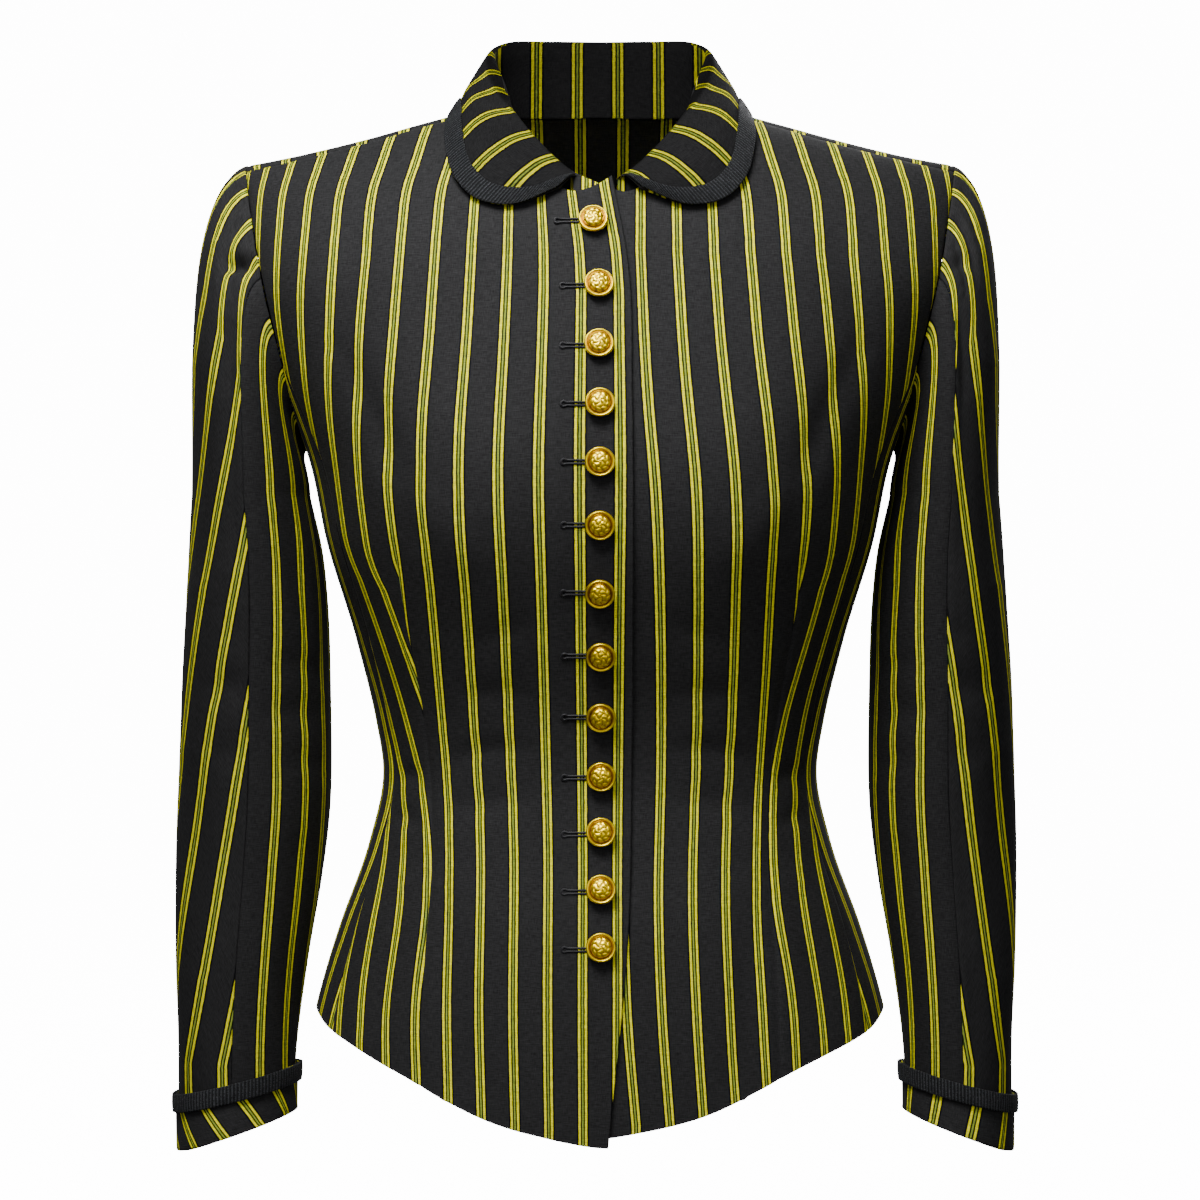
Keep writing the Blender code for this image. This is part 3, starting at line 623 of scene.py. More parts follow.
dyed = (
    ("Base Color", put(tree, "ShaderNodeVectorMath", ((0, stripes), (1, bright)), operation="MULTIPLY")),
    ("Roughness", spread(tree, woven, 0.35, 0.65, 0.88, 0.66)),
    ("Normal", bump(tree, uneven_weave, 0.55, 0.0004)),
    ("Specular IOR Level", maths(tree, "MULTIPLY", lit, 0.10)),
    ("Sheen Weight", maths(tree, "MULTIPLY", lit, 0.01)),
    ("Sheen Roughness", 0.40),
)
feed(tree, shader, dyed)


def dress(made, cloth, slot, *nodes):
    """Gives a piece its material and puts it in the place of its solids."""
    made.data.materials.append(cloth)
    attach(made, "root")
    if nodes:
        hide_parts(*nodes)


WAIST_DART = (
    # height, place across
    (-0.5335, 0.0965), (-0.48, 0.0945), (-0.433, 0.093), (-0.38, 0.0895), (-0.34, 0.091), (-0.3, 0.096),
    (-0.2475, 0.1055), (-0.2263, 0.1085), (-0.12, 0.099), (-0.04, 0.083), (0.02, 0.072),
)
DART_TOP = -0.2263
PITCHES = (
    # height, stripe width
    (-0.5225, 0.0178), (-0.4697, 0.0183), (-0.3783, 0.0183), (-0.3264, 0.0192), (-0.2475, 0.0204),
    (-0.182, 0.0214), (-0.1159, 0.0203), (-0.05, 0.0188), (-0.0159, 0.0184),
)
TAKEN_IN = (
    # height, stripes taken in by the dart on the wearer's right front, and on the left
    (-0.5335, 2.0, 1.0), (-0.459, 2.0, 1.0), (-0.4326, 2.2, 1.2), (-0.4062, 2.28, 1.35),
    (-0.3797, 2.2, 1.4), (-0.3533, 2.15, 1.45), (-0.3268, 1.7, 1.35), (-0.3004, 1.4, 1.05),
    (-0.2739, 0.9, 0.55), (-0.2475, 0.42, 0.2), (-0.2263, 0.0, 0.0), (0.05, 0.0, 0.0),
)
DART_EASE = np.linspace(-0.024, 0.024, 13)
LAP_LEAN = ((-0.0850, -0.0605, -0.0430, -0.0275, -0.0143), (0.00, 0.09, 0.24, 0.38, 0.48))
SHOULDER_LEAN = ((-0.0550, -0.0275, -0.0055, 0.0115), (0.00, 0.10, 0.40, 0.62))
FRONT_COLUMNS = shares((0.0025, 1), (0.008, 1), (NECK_SHARE, 40), (0.985, 50), (0.996, 2), (1.0, 1))
FRONT_ROWS = shares((0.0008, 1), (0.0030, 1), (HOLE_SHARE, 150), (0.985, 60), (0.997, 2), (1.0, 1))
DART_COLUMN = 42
LAP_STEP = (0.034, 0.014)  # where the lap begins to rise over the under front, and over what width
CREASES_FROM = (0.028, 0.03)  # where the creases beside the lap set in, and over what width
NECK_SEAM_FROM = 0.070  # place round the body where a front's top becomes the shoulder seam
FRONT_CREASES = (
    # start across and up, bend, end, half width, depth
    (0.1, -0.225, 0.118, -0.15, 0.15, -0.105, 0.01, 0.0024),
    (0.06, -0.235, 0.1, -0.19, 0.135, -0.175, 0.012, -0.0015),
    (0.07, -0.275, 0.04, -0.255, 0.012, -0.262, 0.007, 0.0012),
    (0.085, -0.335, 0.055, -0.32, 0.02, -0.33, 0.006, 0.0014),
    (0.088, -0.362, 0.06, -0.35, 0.018, -0.356, 0.007, 0.0012),
    (0.1, -0.345, 0.112, -0.338, 0.126, -0.345, 0.005, 0.0013),
    (0.1, -0.37, 0.114, -0.36, 0.128, -0.366, 0.005, 0.0012),
    (0.086, -0.4, 0.08, -0.45, 0.074, -0.51, 0.012, 0.0018),
    (0.11, -0.4, 0.12, -0.44, 0.135, -0.48, 0.01, 0.0016),
    (0.03, -0.42, 0.034, -0.46, 0.03, -0.52, 0.012, 0.0014),
    (0.12, -0.05, 0.14, -0.08, 0.15, -0.12, 0.01, 0.0019),
    (0.06, -0.06, 0.075, -0.1, 0.085, -0.15, 0.014, 0.0012),
    (0.075, -0.3, 0.05, -0.292, 0.022, -0.303, 0.006, 0.0011),
    (0.04, -0.11, 0.06, -0.14, 0.064, -0.2, 0.016, 0.0011),
)
NECK_DART = (0.0700, -0.0180, 0.0735, -0.0500, 0.0755, -0.0790, 0.0014, 0.0007)
RUN = 0.02  # length along the cloth that its chart counts as 1


def front(over):
    """Points, stripe and run of a front, and how far its pattern leaps at the dart in each row."""
    dense = shares((NECK_SHARE, 150), (1.0, 200))
    net = front_net(dense, FRONT_ROWS, over)
    laid = body(net[..., 0], net[..., 1])
    dart = curve(WAIST_DART, laid[..., 2])
    turns, drops = [], []
    for row, line in enumerate(net):
        reach = np.interp(0, laid[row, :, 0] - dart[row], dense)
        before = FRONT_COLUMNS[: DART_COLUMN + 1] / NECK_SHARE * reach
        after = reach + (FRONT_COLUMNS[DART_COLUMN + 1 :] - NECK_SHARE) / (1 - NECK_SHARE) * (1 - reach)
        places = np.concatenate([before, after])
        turns.append(np.interp(places, dense, line[:, 0]))
        drops.append(np.interp(places, dense, line[:, 1]))
    points = body(turns, drops)
    height = points[..., 2]
    across = girth(np.array(turns), height)
    if over:
        points[..., 1] -= LAP * eased(np.clip((LAP_STEP[0] - points[..., 0]) / LAP_STEP[1], 0, 1))
    points = drawn_in(points, SEAM, SEAM)
    left, right, low, high = runs(points)
    start, width = CREASES_FROM
    dent = creased(across, height, FRONT_CREASES) * np.clip((across - start) / width, 0, 1)
    dent += creased(across, height, (NECK_DART,)) + uneven(across, height) + sewn(right)
    dent += np.where(across > NECK_SEAM_FROM, sewn(high), 0)
    from_dart = np.abs(left - left[:, DART_COLUMN : DART_COLUMN + 1])
    dent += sewn(from_dart, 0.0009, 0.0018) * np.clip((DART_TOP + 0.01 - height) / 0.03, 0, 1)
    dent += 0.0010 * np.exp(-((from_dart / 0.012) ** 2) - ((height - DART_TOP + 0.004) / 0.016) ** 2)
    points = pressed(points, dent)
    pitch = curve(PITCHES, height)
    if over:
        lean = through(*LAP_LEAN, height) * np.exp(-((np.maximum(across, 0) / 0.032) ** 2))
        stripe = across / pitch - lean
    else:
        stripe = (across - through(*UNDER_START, height)) / pitch + 1.5
        stripe += 0.5 * (across < 0) * (height > -0.045)
    stripe += through(*SHOULDER_LEAN, height) * np.clip((across - 0.02) / 0.05, 0, 1)
    at = height[:, DART_COLUMN]
    amounts = column(TAKEN_IN, 0), column(TAKEN_IN, 1 if over else 2)
    taken = np.mean([np.interp(at + step, *amounts) for step in DART_EASE], axis=0)
    return points, stripe, height / RUN, (DART_COLUMN, taken * np.clip((DART_TOP - at) / 0.02, 0, 1))


points, stripe, run, leap = front(True)
front_right = shell("front_right_cloth", points, stripe, run, CLOTH, mirror=True, jump=leap)
dress(front_right, STRIPED, "striped_cloth", "front_right")

# The wearer's left front. It lies under the lap and carries the buttons, and is cut as its pair is,
# with a little less taken in by the waist dart.
UNDER_START = (
    (-0.5225, -0.4700, -0.4170, -0.3264, -0.2475, -0.1949, -0.1422, -0.0633),
    (0.0367, 0.0328, 0.0308, 0.0324, 0.0314, 0.0293, 0.0251, 0.0209),
)
points, stripe, run, leap = front(False)
front_left = shell("front_left_cloth", points, stripe, run, CLOTH, jump=leap)
dress(front_left, STRIPED, "striped_cloth", "front_left")

# Side panels. Each is one shaped strip under the arm from the front to the back, on its own grain.
# It is sewn to both, and eased into the armhole below the sleeve.
SIDE_HEM = ((66.0, -0.4785), (78.0, -0.4715), (90.0, -0.4685), (114.0, -0.4700))
SIDE_PITCH = 0.0200
SIDE_COLUMNS = shares((0.010, 1), (0.03, 1), (0.97, 30), (0.99, 1), (1.0, 1))
SIDE_ROWS = shares((0.001, 1), (0.005, 1), (0.99, 120), (0.997, 1), (1.0, 1))
SIDE_CREASES = (
    (0.225, -0.345, 0.24, -0.338, 0.262, -0.346, 0.006, 0.0009),
    (0.225, -0.372, 0.245, -0.364, 0.262, -0.37, 0.006, 0.0008),
    (0.235, -0.2, 0.245, -0.24, 0.24, -0.29, 0.012, 0.0012),
)


def side_net(across, up):
    """Turn and drop of a side panel, from its front seam to its back seam and from the hem up."""
    left, right = side_seam(up, False), side_seam(up, True)
    turn = left[0][0] + (right[0][0] - left[0][0]) * across
    bottom = turn, drop_at(turn, curve(SIDE_HEM, np.degrees(turn)))
    rest = 1 - ARMHOLE_SEAM
    ahead = armhole(ARMHOLE_SEAM + rest * np.clip(across * 2, 0, 1), False)
    behind = armhole(ARMHOLE_SEAM + rest * np.clip(2 - across * 2, 0, 1), True)
    top = tuple(np.where(across <= 0.5, a, b) for a, b in zip(ahead, behind))
    return patch(left, right, bottom, top, across, up)


def body_dent(points, across, creases):
    """Depth of the seams, the waviness and the creases of a side panel or the back."""
    left, right, low, high = runs(points)
    height = points[..., 2]
    return sewn(left) + sewn(right) + sewn(high) + uneven(across, height) + creased(across, height, creases)


net = side_net(SIDE_COLUMNS, SIDE_ROWS)
points = drawn_in(body(net[..., 0], net[..., 1]), SEAM, SEAM)
height = points[..., 2]
across = girth(net[..., 0], height)
points = pressed(points, body_dent(points, across, SIDE_CREASES))
stripe = (across - girth(np.pi / 2, height)) / SIDE_PITCH + 0.5
for side, flip in (("right", True), ("left", False)):
    panel = shell(f"side_{side}_cloth", points, stripe, height / RUN, CLOTH, mirror=flip)
    dress(panel, STRIPED, "striped_cloth", f"side_{side}")

# Back. One piece over both shoulder blades, sewn to the fronts a little before the shoulder ridge.
# Its wrong side, which shows in the neck, is painted brighter, as painted light.
BACK_HEM = ((0.0, -0.4790), (0.07, -0.4770), (0.1430, -0.4700))
BACK_NECK = (
    # across, way down behind the ridge
    (0.0, 0.035), (0.02, 0.0345), (0.04, 0.03), (0.055, 0.021), (0.066, 0.008), (0.072, -0.024),
)
BACK_NECK_SHARE = 0.40
BACK_PITCHES = ((-0.48, -0.34, -0.15, 0.03), (0.0222, 0.0205, 0.0225, 0.0232))
BACK_COLUMNS = shares((BACK_NECK_SHARE, 30), (0.985, 42), (0.996, 2), (1.0, 1))
BACK_ROWS = shares((0.001, 1), (0.004, 1), (HOLE_SHARE, 120), (0.985, 50), (0.997, 2), (1.0, 1))
BACK_CREASES = (
    (0.03, -0.33, 0.05, -0.322, 0.085, -0.334, 0.007, 0.0011),
    (-0.075, -0.345, -0.045, -0.338, -0.02, -0.346, 0.007, 0.001),
    (0.02, -0.372, 0.045, -0.362, 0.08, -0.37, 0.007, 0.0009),
    (-0.09, -0.318, -0.06, -0.322, -0.035, -0.314, 0.006, 0.0009),
    (0.105, -0.24, 0.112, -0.18, 0.13, -0.12, 0.013, 0.0016),
    (-0.105, -0.23, -0.112, -0.18, -0.132, -0.115, 0.013, 0.0018),
    (0.05, -0.4, 0.056, -0.44, 0.06, -0.475, 0.012, 0.0014),
    (-0.05, -0.395, -0.054, -0.44, -0.064, -0.475, 0.012, 0.0012),
    (0.0, -0.38, 0.004, -0.43, 0.0, -0.475, 0.014, 0.001),
    (-0.02, -0.04, 0.0, -0.05, 0.022, -0.04, 0.009, 0.001),
)


def back_net(across, up):
    """Turn and drop of half the back, from its centre to the side and from the hem up."""
    low, high = drop_at(np.pi, BACK_HEM[0][1]), BACK_NECK[0][1]
    left = np.full_like(up, np.pi), low + (high - low) * up
    right = side_edge(up, True)
    turn = np.pi + (right[0][0] - np.pi) * across
    bottom = turn, drop_at(turn, curve(BACK_HEM, level(-0.475, 1) * np.sin(turn)))
    x = BACK_NECK[-1][0] * np.clip(across / BACK_NECK_SHARE, 0, 1)
    neck = np.pi - np.arcsin(x / SHOULDER_WIDTH), curve(BACK_NECK, x)
    neck_end = np.pi - np.arcsin(BACK_NECK[-1][0] / SHOULDER_WIDTH)
    top = top_edge(across, BACK_NECK_SHARE, neck, neck_end, True)
    return patch(left, right, bottom, top, across, up)


net = back_net(BACK_COLUMNS, BACK_ROWS)
half = body(net[..., 0], net[..., 1])
reach = girth(np.pi, half[..., 2]) - girth(net[..., 0], half[..., 2])
points = np.concatenate([half[:, :0:-1], half * (-1, 1, 1)], axis=1)
across = np.concatenate([-reach[:, :0:-1], reach], axis=1)
points = drawn_in(points, SEAM, SEAM)
height = points[..., 2]
points = pressed(points, body_dent(points, across, BACK_CREASES))
stripe = (across + 0.0009) / through(*BACK_PITCHES, height)
# The wrong side is painted 2.2 times as bright: painted light
back = shell("back_cloth", points, stripe, height / RUN, CLOTH, painted_shading=(0.0, 1.2))
dress(back, STRIPED, "striped_cloth", "back")

# Sleeves. Each has a top piece, gathered into a square padded head, and an under piece, joined by a
# front and a back seam. The top piece is cut off the grain, so its stripes wind outwards on the way down.
ARM = (
    # height, inner side, outer side on the wearer's right and left, middle of the depth, half depth
    (-0.19, 0.159, 0.2244, 0.2195, -0.003, 0.055), (-0.22, 0.1525, 0.2258, 0.2215, -0.003, 0.0555),
    (-0.2475, 0.1495, 0.2272, 0.2233, -0.004, 0.055), (-0.3, 0.1478, 0.2296, 0.2262, -0.007, 0.053),
    (-0.357, 0.1472, 0.2307, 0.2269, -0.014, 0.049), (-0.4, 0.152, 0.2311, 0.2268, -0.022, 0.045),
    (-0.443, 0.1585, 0.2301, 0.2252, -0.032, 0.0415), (-0.485, 0.1636, 0.2281, 0.2227, -0.041, 0.0385),
    (-0.545, 0.165, 0.2262, 0.2212, -0.048, 0.0365),
)
ARM_TOP = ARM[0][0]
SLEEVE_END = (-0.5309, 0.0108)
HEAD_REACH = {"right": 0.100, "left": 0.088}
WINDING = (
    # height, how far the stripes have moved outwards on the wearer's right and left
    (-0.495, 0.0645, 0.0644), (-0.44, 0.0508, 0.0525), (-0.38, 0.0385, 0.0415), (-0.31, 0.0245, 0.0305),
    (-0.2475, 0.0125, 0.0212), (-0.1925, 0.002, 0.0152), (-0.1375, -0.0109, 0.0064),
    (-0.07, -0.0237, -0.0032), (0.0, -0.0237, -0.0032),
)
SLEEVE_STRIPE = 0.0205
UNDER_STRIPE = 0.0190
UNDER_SHIFT = 0.0158
HEAD_ROWS = shares((0.01, 1), (0.05, 4), (0.30, 26), (1.0, 44))
ARM_ROWS = shares((0.985, 118), (0.997, 1), (1.0, 1))
SLEEVE_COLUMNS = shares((0.006, 1), (0.02, 1), (0.98, 56), (0.994, 1), (1.0, 1))
GATHERS = (
    # place round the head, length, half width, depth
    (-0.06, 0.03, 0.0032, 0.0022), (-0.047, 0.024, 0.0028, 0.0017), (-0.036, 0.034, 0.0034, 0.0025),
    (-0.022, 0.026, 0.0028, 0.0018), (-0.01, 0.036, 0.0034, 0.0024), (0.004, 0.028, 0.003, 0.0018),
    (0.017, 0.038, 0.0036, 0.0027), (0.031, 0.03, 0.003, 0.0021), (0.043, 0.042, 0.0036, 0.0028),
    (0.056, 0.034, 0.0034, 0.002),
)
TOP_CREASES = (
    # start round and down, bend, end, half width, depth
    (0.058, -0.085, 0.046, -0.1, 0.042, -0.14, 0.008, 0.0024),
    (0.05, -0.095, 0.046, -0.16, 0.05, -0.23, 0.012, 0.0026),
    (0.02, -0.12, 0.026, -0.18, 0.022, -0.24, 0.014, 0.0022),
    (0.072, -0.3, 0.05, -0.288, 0.03, -0.3, 0.0085, 0.0017),
    (0.072, -0.33, 0.054, -0.322, 0.036, -0.336, 0.008, 0.0015),
    (0.072, -0.272, 0.058, -0.262, 0.044, -0.268, 0.0075, 0.0009),
    (0.062, -0.35, 0.05, -0.4, 0.056, -0.47, 0.011, 0.0025),
    (0.02, -0.33, 0.03, -0.39, 0.024, -0.45, 0.013, 0.0021),
    (0.04, -0.44, 0.034, -0.47, 0.038, -0.505, 0.009, 0.0012),
    (-0.05, -0.11, -0.044, -0.17, -0.052, -0.24, 0.013, 0.0018),
    (-0.07, -0.29, -0.05, -0.3, -0.02, -0.288, 0.011, 0.0016),
    (-0.05, -0.36, -0.04, -0.42, -0.046, -0.49, 0.012, 0.0016),
)
HEAD_FOLD = (
    # the same across both pieces, so that it runs on over their seam
    (0.0760, -0.0740, 0.0660, -0.0600, 0.0420, -0.0680, 0.0042, 0.0095),
    (0.0760, -0.0600, 0.0660, -0.0470, 0.0420, -0.0550, 0.0070, -0.0030),
)
GATHER_SCALE = 0.32  # metres round the sleeve head
FOLD_SCALE = 0.28
FOLD_DEPTH = {"right": 1.0, "left": 0.35}
# Painted shade: the sleeves are painted darker below the shoulder and all over on their wrong side
SLEEVE_PAINTED_SHADE = -0.28
PAINTED_SHADE_FROM = (-0.04, 0.10)  # height where the painted shade sets in, and over what length
GATHERED = (0.35, 0.06)  # how much closer the stripes lie at the gathered edge, and how far down
UNDER_CREASES = (
    (0.01, -0.285, 0.03, -0.276, 0.052, -0.29, 0.007, 0.0009),
    (0.006, -0.31, 0.026, -0.303, 0.05, -0.314, 0.007, 0.0011),
    (0.012, -0.336, 0.034, -0.33, 0.056, -0.342, 0.007, 0.0009),
    (0.02, -0.2, 0.034, -0.235, 0.04, -0.275, 0.009, 0.0018),
    (0.06, -0.19, 0.066, -0.24, 0.06, -0.3, 0.012, 0.0016),
    (0.03, -0.37, 0.036, -0.43, 0.03, -0.5, 0.01, 0.0015),
    (0.09, -0.3, 0.11, -0.31, 0.13, -0.296, 0.009, 0.0016),
)
SLEEVE_PIECES = (
    # name, where it begins round the arm, ease on the outer side, creases, flat size and area
    ("top", -0.25, 0.5, TOP_CREASES, (0.190, 0.590), 0.083),
    ("under", 0.25, 0.0, UNDER_CREASES, (0.190, 0.480), 0.055),
)


def arm_sizes(z, side):
    """Inner side, outer side, middle and half of the depth of a sleeve at a height."""
    return [curve(ARM[::-1], z, n) for n in (1, 2 if side == "right" else 3, 4, 5)]


def arm_ring(around, z, side, stand_off=0.0):
    """Points round a sleeve. Around goes from the outer side at 0 through the front at a quarter."""
    inner, outer, middle, half = arm_sizes(z, side)
    angle = 2 * np.pi * around
    x = (inner + outer) / 2 + ((outer - inner) / 2 + stand_off) * np.cos(angle)
    y = middle - (half + stand_off) * np.sin(angle)
    return np.stack([x, y, np.broadcast_to(z, x.shape)], -1)


def armhole_ring(around):
    """Points on the body's armhole. Around is as for the sleeve."""
    around = np.asarray(around, float) % 1.0
    ahead = armhole(np.clip(2 * around, 0, 1), False)
    behind = armhole(np.clip(2 - 2 * around, 0, 1), True)
    return body(*(np.where(around <= 0.5, a, b) for a, b in zip(ahead, behind)))


def sleeve_end(around):
    """Height of a sleeve's end, which is longer on the outer side."""
    middle, tilt = SLEEVE_END
    return middle - tilt * np.cos(2 * np.pi * around)


def sleeve(around, head, arm, side):
    """A grid down a sleeve at the places around, with rows at the shares of the head and of the arm."""
    angle = 2 * np.pi * around
    start = armhole_ring(around)
    top = arm_ring(around, np.full_like(around, ARM_TOP), side)
    way = np.stack([np.ones_like(angle), -0.35 * np.sin(angle), -0.18 - 0.35 * (1 - np.cos(angle))], -1)
    leave = unit(way) * (HEAD_REACH[side] * (0.58 + 0.42 * np.cos(angle)))[:, None]
    reach = np.stack([0 * angle, 0 * angle, (top[:, 2] - start[:, 2]) * 1.1], -1)
    s = head[:, None, None]
    rows = start * (2 * s**3 - 3 * s**2 + 1) + top * (3 * s**2 - 2 * s**3)
    rows = rows + leave * (s**3 - 2 * s**2 + s) + reach * (s**3 - s**2)
    z = ARM_TOP + (sleeve_end(around)[None] - ARM_TOP) * arm[1:, None]
    return np.concatenate([rows, arm_ring(around[None], z, side)])


def swept(angles, height, side, ease=0.0):
    """Distance round a sleeve at a height to each of the angles. The outer side may be eased in."""
    inner, outer, _, half = arm_sizes(min(height, ARM_TOP), side)
    rate = np.hypot((outer - inner) / 2 * np.sin(angles), half * np.cos(angles))
    share = np.clip((np.degrees(np.abs(angles)) - 25) / 55, 0, 1)
    rate = rate / (1 + ease * (1 - eased(share)))
    return np.concatenate([[0], np.cumsum((rate[1:] + rate[:-1]) / 2 * np.diff(angles))])


def round_sleeve(around, z, side, ease):
    """Distance round a sleeve at its rows' heights, from the outer side or, with no ease, the front seam."""
    angles = np.linspace(-0.5 * np.pi, 1.5 * np.pi, 721)
    start = 0.0 if ease else 0.5 * np.pi
    lines = []
    for height in z:
        run = swept(angles, height, side, ease)
        lines.append(np.interp(2 * np.pi * around, angles, run) - np.interp(start, angles, run))
    return np.array(lines)


gathers = [(a, 0.02, a * 1.05, -long / 2, a * 1.12, -long, wide, deep) for a, long, wide, deep in GATHERS]
for side, flip in (("right", True), ("left", False)):
    for piece, first, ease, creases, flat, area in SLEEVE_PIECES:
        around = first + 0.5 * SLEEVE_COLUMNS
        points = drawn_in(sleeve(around, HEAD_ROWS, ARM_ROWS, side), SEAM, 2 * SEAM)
        height = points[..., 2]
        across = round_sleeve(around, height.mean(1), side, ease)
        left, right, low, high = runs(points)
        head = np.broadcast_to(around, low.shape)
        inset = np.clip(np.minimum(left, right) / 0.006, 0, 1)
        dent = sewn(left) + sewn(right) + uneven(across, height) * 1.4 * np.clip(low / 0.01, 0, 1)
        dent += creased(across, height, creases) * np.clip(low / 0.02, 0, 1) * inset
        fold = creased(head * FOLD_SCALE, height, HEAD_FOLD) * np.clip(low / 0.012, 0, 1)
        dent += fold * FOLD_DEPTH[side]
        if piece == "top":
            dent += creased(head * GATHER_SCALE, -low, gathers) * np.clip(low / 0.007, 0, 1)
            wound = curve(WINDING, height, 1 if side == "right" else 2)
            gathered = 1 + GATHERED[0] * np.clip(1 - low / GATHERED[1], 0, 1)
            stripe = (across * gathered + wound) / SLEEVE_STRIPE + 0.5
            run = low / RUN
        else:
            stripe = (across - UNDER_SHIFT) / UNDER_STRIPE + 0.5
            run = height / RUN
        points = pressed(points, dent)
        # Painted shade, darker down the sleeve and on the wrong side
        painted_shading = SLEEVE_PAINTED_SHADE * np.clip((PAINTED_SHADE_FROM[0] - height) / PAINTED_SHADE_FROM[1], 0, 1), SLEEVE_PAINTED_SHADE
        made = shell(f"{piece}_sleeve_{side}_cloth", points, stripe, run, CLOTH, mirror=flip, painted_shading=painted_shading)
        dress(made, STRIPED, "striped_cloth", f"{piece}_sleeve_{side}")

# Cuffs. A slanting band of the striped wool is folded under the sleeve end and turned back up over it.
# It is cut with its stripes leaning, and caught down by hand inside.
CUFF_WALL = 0.0012
CUFF_REST = 0.0006
CUFF_TOP = (-0.5055, 0.0084)
CUFF_PATTERN = {"right": (0.0195, 0.62, -0.274), "left": (0.0205, 0.20, 0.363)}  # pitch, lean, start
CUFF_AROUND = np.arange(0, 1, 1 / 120)
CUFF_ROWS = shares((0.03, 1), (1.0, 16))
CUFF_FOLD = 0.0010
CUFF_BENDS = (0.35, 0.8, 1.2, math.pi / 2)
CUFF_WAVE = 0.0003
cuff_closed = np.append(CUFF_AROUND, 1.0)
cuff_high = CUFF_TOP[0] - CUFF_TOP[1] * np.cos(2 * np.pi * CUFF_AROUND)
cuff_low = sleeve_end(CUFF_AROUND) - CUFF_REST - CUFF_WALL
cuff_off = CUFF_REST + CUFF_WALL
for side, flip in (("right", True), ("left", False)):
    places = [(cuff_high + (cuff_low + CUFF_FOLD - cuff_high) * share, cuff_off) for share in CUFF_ROWS]
    for bend in CUFF_BENDS:
        drop, turned = CUFF_FOLD * (1 - math.sin(bend)), CUFF_FOLD * (1 - math.cos(bend))
        places.append((cuff_low + drop, cuff_off - turned))
    places.append((cuff_low, -CLOTH - CUFF_REST))
    points = np.array([arm_ring(CUFF_AROUND, z, side, off) for z, off in places])
    height = points[..., 2]
    down = cuff_high - height
    dent = uneven(CUFF_AROUND[None], height) + CUFF_WAVE * np.sin(2 * np.pi * 5 * CUFF_AROUND + 1.1)
    dent = dent * np.clip(down / 0.004, 0, 1)
    way = outward(np.concatenate([points, points[:, :1]], 1))[:, :-1]
    points[: len(CUFF_ROWS) - 1] += (way * dent[..., None])[: len(CUFF_ROWS) - 1] * 0.6
    angles = np.linspace(0, 2 * np.pi, 361)
    reach = np.interp(2 * np.pi * cuff_closed, angles, swept(angles, CUFF_TOP[0], side))
    down = np.concatenate([down, down[:, :1]], axis=1)
    pitch, lean, start = CUFF_PATTERN[side]
    stripe = (reach - lean * down) / pitch + start
    cuff = shell(f"cuff_{side}_cloth", points, stripe, down / RUN, CUFF_WALL, mirror=flip, ring=True)
    dress(cuff, STRIPED, "striped_cloth", f"cuff_{side}")

# Cuff trims. A ribbed black braid is folded over each cuff's upper edge and stitched down.
# It is woven of matt silk with cross ribs and goes all round.
TRIM_WALL = 0.0012
CUFF_TRIM_HEIGHT = 0.0095
CUFF_GIRTH = 0.222
TRIM_OVER = 0.0006  # how far the braid stands above the cuff's edge
TRIM_DOME = 0.0003
BRAID, tree, shader = material("ribbed_braid")
chart, place, _ = charted(tree)
grain = threads(tree, chart, 24, 40, 3.0)
rib_place = maths(tree, "ADD", maths(tree, "MULTIPLY", place, 64.0), maths(tree, "MULTIPLY", grain, 7.0))
ribs = maths(tree, "MULTIPLY", maths(tree, "SINE", rib_place), 0.30)
braid_height = maths(tree, "ADD", ribs, grain)
BRAID_STOPS = (
    # height of the ribs, colour; the rib tops are painted lighter and the furrows darker, as painted
    # highlight and shade, with uneven tone from the grain
    (0.15, (0.0015, 0.0017, 0.0020)), (0.60, (0.0095, 0.0102, 0.0115)), (0.95, (0.050, 0.053, 0.058)),
)
dyed = (
    ("Base Color", ramp(tree, braid_height, BRAID_STOPS)),
    ("Normal", bump(tree, braid_height, 1.0, 0.0009)),
    ("Roughness", spread(tree, grain, 0.3, 0.7, 0.72, 0.5)),
    ("Specular IOR Level", 0.14),
)
feed(tree, shader, dyed)
for side, flip in (("right", True), ("left", False)):
    rows = []
    for share in shares((0.06, 1), (0.94, 8), (1.0, 1)):
        off = 2 * CUFF_REST + CUFF_WALL + TRIM_WALL + TRIM_DOME * math.sin(math.pi * share)
        rows.append(arm_ring(CUFF_AROUND, cuff_high + TRIM_OVER - CUFF_TRIM_HEIGHT * share, side, off))
    points = np.array(rows)
    down = np.linspace(0, CUFF_TRIM_HEIGHT, len(rows))[:, None] + 0 * cuff_closed
    along = np.broadcast_to(cuff_closed * CUFF_GIRTH / RUN, down.shape)
    cuff_trim = shell(f"cuff_trim_{side}_braid", points, along, down / RUN, TRIM_WALL, mirror=flip, ring=True)
    dress(cuff_trim, BRAID, "black_trim", f"cuff_trim_{side}")

